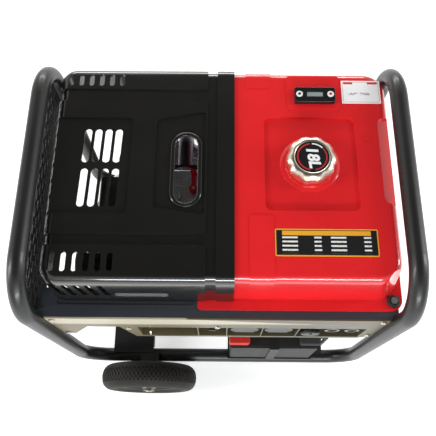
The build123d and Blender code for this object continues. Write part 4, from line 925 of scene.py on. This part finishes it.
def rim_piece(node, body, outward):
    """Pressed rim: flanged barrel, dished web with round holes, and a stepped hub."""
    low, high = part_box(node)
    centre = (low + high) / 2
    flange = (high.y - low.y) / 2 / MM - 0.3
    hub = flange - 1.8
    bore = 8.2
    profile = [(bore, -hub), (24, -hub), (26, 2 - hub), (26, 6 - hub), (23, 8 - hub), (22, -8), (28, -6),
               (52, -4), (58, -10), (60, -19), (64, 1 - flange), (70.5, -flange), (71.5, 3 - flange),
               (67, -18), (66, -10), (66, 10), (67, 18), (71.5, flange - 3), (70.5, flange),
               (64, flange - 1), (60, 18), (58, 8), (52, 1), (40, 2), (37, 5), (35.5, 13), (33, 15),
               (30, 14.5), (28.5, 12), (21, 10), (17, hub - 3), (15, hub), (bore, hub)]
    points = [(r * MM, y * MM * outward) for r, y in profile]
    bm = bmesh.new()
    add_turned(bm, points + [points[0]], (0, 0, 0), axis="Z", steps=72)
    bmesh.ops.rotate(bm, verts=bm.verts, cent=(0, 0, 0), matrix=Matrix.Rotation(math.radians(-90), 3, "X"))
    bmesh.ops.translate(bm, verts=bm.verts, vec=centre)
    piece = to_object(bm, node + "_pressed", black_rim)
    holes = bmesh.new()
    for i in range(5):
        angle = math.radians(90 + 72 * i)
        spot = centre + Vector((46 * MM * math.cos(angle), -40 * MM, 46 * MM * math.sin(angle)))
        add_turned(holes, [(0, 0), (6 * MM, 0), (6 * MM, -80 * MM), (0, -80 * MM)], spot, axis="Y", steps=24)
    cut(piece, to_object(holes, "holes"))
    tidy_mesh(piece)
    soften(piece, 0.8 * MM, 2, 32)
    return add_piece(piece, body, (node,))


# Battery -----------------------------------------------------------------------------------------
def battery_lid():
    """Lid with round corners and six vent caps on top of the battery."""
    bm = bmesh.new()
    low = Vector((battery_low.x + 3 * MM, battery_low.y + 3 * MM, battery_high.z - 1 * MM))
    high = Vector((battery_high.x - 3 * MM, battery_high.y - 3 * MM, battery_high.z + 1.2 * MM))
    verts = add_block(bm, low, high)
    round_edges(bm, upright(edges_of(verts)), 5 * MM, 4)
    for i in range(6):
        x = low.x + 24 * MM + i * 27.5 * MM
        add_turned(bm, [(0, 0), (8.5 * MM, 0), (8.5 * MM, 3 * MM), (7.5 * MM, 4 * MM), (0, 4 * MM)],
                   Vector((x, high.y - 34 * MM, high.z - 0.2 * MM)), steps=32)
    piece = to_object(bm, "battery_lid", smoke_plastic)
    soften(piece, 0.6 * MM, 2, 40)
    return add_piece(piece, FIXED, ())


# Starter rope and grip ---------------------------------------------------------------------------
def starter_rope():
    """Braided rope from the reel to the grip."""
    middle = (grip_low + grip_high) / 2
    inside, outside = grip_high.x + 12 * MM, grip_high.x - 8 * MM
    bm = bmesh.new()
    r = 2.6 * MM
    bmesh.ops.create_circle(bm, cap_ends=False, segments=20, radius=r)
    rows = 24
    edges = list(bm.edges)
    for _ in range(rows):
        grown = bmesh.ops.extrude_edge_only(bm, edges=edges)["geom"]
        verts = [g for g in grown if isinstance(g, bmesh.types.BMVert)]
        edges = [g for g in grown if isinstance(g, bmesh.types.BMEdge)]
        bmesh.ops.translate(bm, verts=verts, vec=(0, 0, (inside - outside) / rows))
    bmesh.ops.holes_fill(bm, edges=[e for e in bm.edges if e.is_boundary], sides=0)
    bmesh.ops.rotate(bm, verts=bm.verts, cent=(0, 0, 0), matrix=Matrix.Rotation(math.radians(90), 3, "Y"))
    bmesh.ops.translate(bm, verts=bm.verts, vec=(outside, middle.y, middle.z))
    piece = to_object(bm, "starter_rope", rope_braid("rope_braid"))
    for polygon in piece.data.polygons:
        polygon.use_smooth = True
    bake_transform(piece)
    return piece


def rope_braid(name):
    finish = Finish(name, roughness=0.8)
    x, y = finish.axes()[:2]
    weave = finish.node("ShaderNodeMath", {"operation": "SINE"}, {0: x * 2200 + y * 3000})
    finish.set(base_color=finish.mix(finish.step(weave, -0.4, 0.6), (0.16, 0.155, 0.15), (0.42, 0.41, 0.4)))
    finish.bump(weave, 0.4, 0.0004)
    return finish.material


# Panel details -----------------------------------------------------------------------------------
def dial_scale():
    """Ring of tick marks with numbers round the current dial."""
    centre = (dial_low + dial_high) / 2
    face = tray_face - 0.35 * MM
    bm = bmesh.new()
    for i in range(11):
        angle = math.radians(-135 + 27 * i)
        tick = add_block(bm, (-0.5 * MM, -0.3 * MM, 20.5 * MM), (0.5 * MM, 0.1 * MM, 23 * MM))
        bmesh.ops.rotate(bm, verts=tick, cent=(0, 0, 0), matrix=Matrix.Rotation(angle, 3, "Y"))
        bmesh.ops.translate(bm, verts=tick, vec=(centre.x, face, centre.z))
    piece = to_object(bm, "dial_ticks", white_print)
    soften(piece, 0)
    add_piece(piece, FIXED, ())
    for i in (0, 5, 10):
        angle = math.radians(-135 + 27 * i)
        away = 27 * MM
        spot = Vector((centre.x + away * math.sin(angle), face, centre.z + away * math.cos(angle)))
        lettering(f"dial_number_{i}", str(i), 5 * MM, spot, 0, FIXED, white_print,
                  (math.radians(90), 0, 0), 0.1 * MM)


def meter_face():
    """Face, tick marks and needle of the voltmeter."""
    centre_x = (meter_low.x + meter_high.x) / 2
    front = meter_low.y
    low_z = (meter_low.z + meter_high.z) / 2 - 12 * MM
    bm = bmesh.new()
    corner = Vector((centre_x, front, low_z))
    add_block(bm, corner + mm(-22.8, 2.5, 0.2), corner + mm(22.8, 3.0, 34.6))
    face = to_object(bm, "meter_face", white_print)
    soften(face, 0)
    add_piece(face, FIXED, ())
    marks = bmesh.new()
    pivot = Vector((centre_x, front + 2.3 * MM, low_z + 4 * MM))
    for i in range(13):
        angle = math.radians(-48 + 8 * i)
        long = 5 * MM if i % 3 == 0 else 3 * MM
        tick = add_block(marks, (-0.3 * MM, -0.1 * MM, 25 * MM - long), (0.3 * MM, 0.1 * MM, 25 * MM))
        bmesh.ops.rotate(marks, verts=tick, cent=(0, 0, 0), matrix=Matrix.Rotation(angle, 3, "Y"))
        bmesh.ops.translate(marks, verts=tick, vec=pivot)
    needle = add_block(marks, (-0.4 * MM, -0.6 * MM, 0), (0.4 * MM, -0.3 * MM, 23 * MM))
    bmesh.ops.rotate(marks, verts=needle, cent=(0, 0, 0), matrix=Matrix.Rotation(math.radians(-46), 3, "Y"))
    bmesh.ops.translate(marks, verts=needle, vec=pivot)
    piece = to_object(marks, "meter_marks", gloss_plastic)
    soften(piece, 0)
    add_piece(piece, FIXED, ())


def polarity_marks():
    """Plus and minus beside the welding outlets."""
    low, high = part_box("weld_sockets")
    r = 18 * MM
    for name, x, words in (("plus_mark", low.x + r, "+"), ("minus_mark", high.x - r, "-")):
        spot = Vector((x, tray_face - 0.2 * MM, high.z + 8 * MM))
        lettering(name, words, 13 * MM, spot, 0, FIXED, white_print,
                  (math.radians(90), 0, 0), 0.1 * MM)


def tank_bushing():
    """Black rubber bush and cross head on the tank's front bolt."""
    bm = bmesh.new()
    ring = [(0, 0), (11.5, 0), (12, 2.5), (11, 5.5), (8, 6.8), (6.6, 6.2), (6.2, 8.4), (4.6, 9.6), (0, 9.8)]
    add_turned(bm, [mm(r, h).to_tuple() for r, h in ring], bolt + mm(0, 0, 0.2), steps=40)
    piece = to_object(bm, "tank_bushing", rubber)
    for half in (mm(4, 0.7, 0), mm(0.7, 4, 0)):
        cross = bmesh.new()
        add_block(cross, bolt - half + mm(0, 0, 7.5), bolt + half + mm(0, 0, 12))
        cut(piece, to_object(cross, "cross"))
    soften(piece, 0.3 * MM, 2, 40)
    return add_piece(piece, FIXED, ())


# Studio ------------------------------------------------------------------------------------------
def add_camera():
    """Camera above the control panel side, looking down at the tank."""
    data = bpy.data.cameras.new("camera")
    data.sensor_width = 36
    data.lens = 47.8
    data.clip_end = 50
    camera = bpy.data.objects.new("camera", data)
    bpy.context.scene.collection.objects.link(camera)
    elevation, yaw, roll = math.radians(69.08), math.radians(0.95), math.radians(0.43)
    turn = Matrix.Rotation(yaw, 4, "Z") @ Matrix.Rotation(math.pi / 2 - elevation, 4, "X")
    turn = turn @ Matrix.Rotation(-roll, 4, "Z")
    camera.matrix_world = Matrix.Translation((0.006, -0.434, 1.589)) @ turn
    bpy.context.scene.camera = camera


def add_light(name, place, target, size, power, colour=(1, 1, 1)):
    data = bpy.data.lights.new(name, "AREA")
    data.shape = "RECTANGLE"
    data.size, data.size_y = size
    data.energy = power
    data.color = colour
    light = bpy.data.objects.new(name, data)
    bpy.context.scene.collection.objects.link(light)
    light.location = place
    light.rotation_euler = (Vector(target) - Vector(place)).to_track_quat("-Z", "Y").to_euler()


def add_studio():
    """Pale floor, a dim ceiling with a bright horizon, and soft lights."""
    bm = bmesh.new()
    bmesh.ops.create_grid(bm, x_segments=1, y_segments=1, size=12)
    floor = to_object(bm, "floor", floor_paper("floor_paper"))
    world = bpy.data.worlds.new("studio")
    bpy.context.scene.world = world
    world.use_nodes = True
    tree = world.node_tree
    coords = tree.nodes.new("ShaderNodeTexCoord")
    split = tree.nodes.new("ShaderNodeSeparateXYZ")
    tree.links.new(coords.outputs["Generated"], split.inputs[0])
    ramp = tree.nodes.new("ShaderNodeValToRGB")
    tree.links.new(split.outputs[2], ramp.inputs[0])
    stops = ((0.0, 0.5), (0.5, 0.8), (0.68, 0.7), (0.8, 0.06), (1.0, 0.03))
    while len(ramp.color_ramp.elements) < len(stops):
        ramp.color_ramp.elements.new(1)
    for element, (position, level) in zip(ramp.color_ramp.elements, stops):
        element.position = position
        element.color = (level, level * 0.985, level * 0.95, 1)
    tree.links.new(ramp.outputs[0], tree.nodes["Background"].inputs[0])
    tree.nodes["Background"].inputs[1].default_value = 1.0
    add_light("front_softbox", (0.3, -3.6, 1.9), (0, 0, 0.5), (2.6, 0.5), 90, (0.9, 0.95, 1))
    add_light("left_softbox", (-3.4, -0.6, 2.1), (0, 0, 0.5), (0.7, 2.4), 60)
    add_light("right_softbox", (3.4, 0.4, 2.1), (0, 0, 0.5), (0.7, 2.4), 60, (0.95, 0.97, 1))
    add_light("rear_softbox", (-0.2, 3.6, 1.7), (0, 0, 0.5), (3.0, 0.6), 60)
    bpy.context.scene.view_settings.view_transform = "Standard"


# Assembly ----------------------------------------------------------------------------------------
champagne = plated("champagne", (0.9, 0.83, 0.74), 0.3, (1, 1, 6))

add_camera()
add_studio()
finish_nodes()
engine_cover()
port_rim()
tank_shell()
tank_seam()
fuel_cap()
cap_badge()
lettering("cap_marking", "18L", 28 * MM, Vector((filler.x + 1 * MM, filler.y, cap_high.z - 1 * MM)),
          math.radians(-82), "cap", white_print, thick=0.2 * MM)
gauge_details()
printed_plate("spec_label", mm(98, -143.5, 650.0), mm(275, -94, 650.5), 3 * MM, label_print)
printed_plate("care_label", mm(231, 157, 650.0), mm(304, 207, 650.5), 1 * MM, sticker_print)
tank_bushing()
for end, outward in (("front", -1), ("rear", 1)):
    tyre_piece(end + "_tyre", end + "_wheel")
    rim_piece(end + "_rim", end + "_wheel", outward)
battery_lid()
starter_rope()
dial_scale()
meter_face()
polarity_marks()
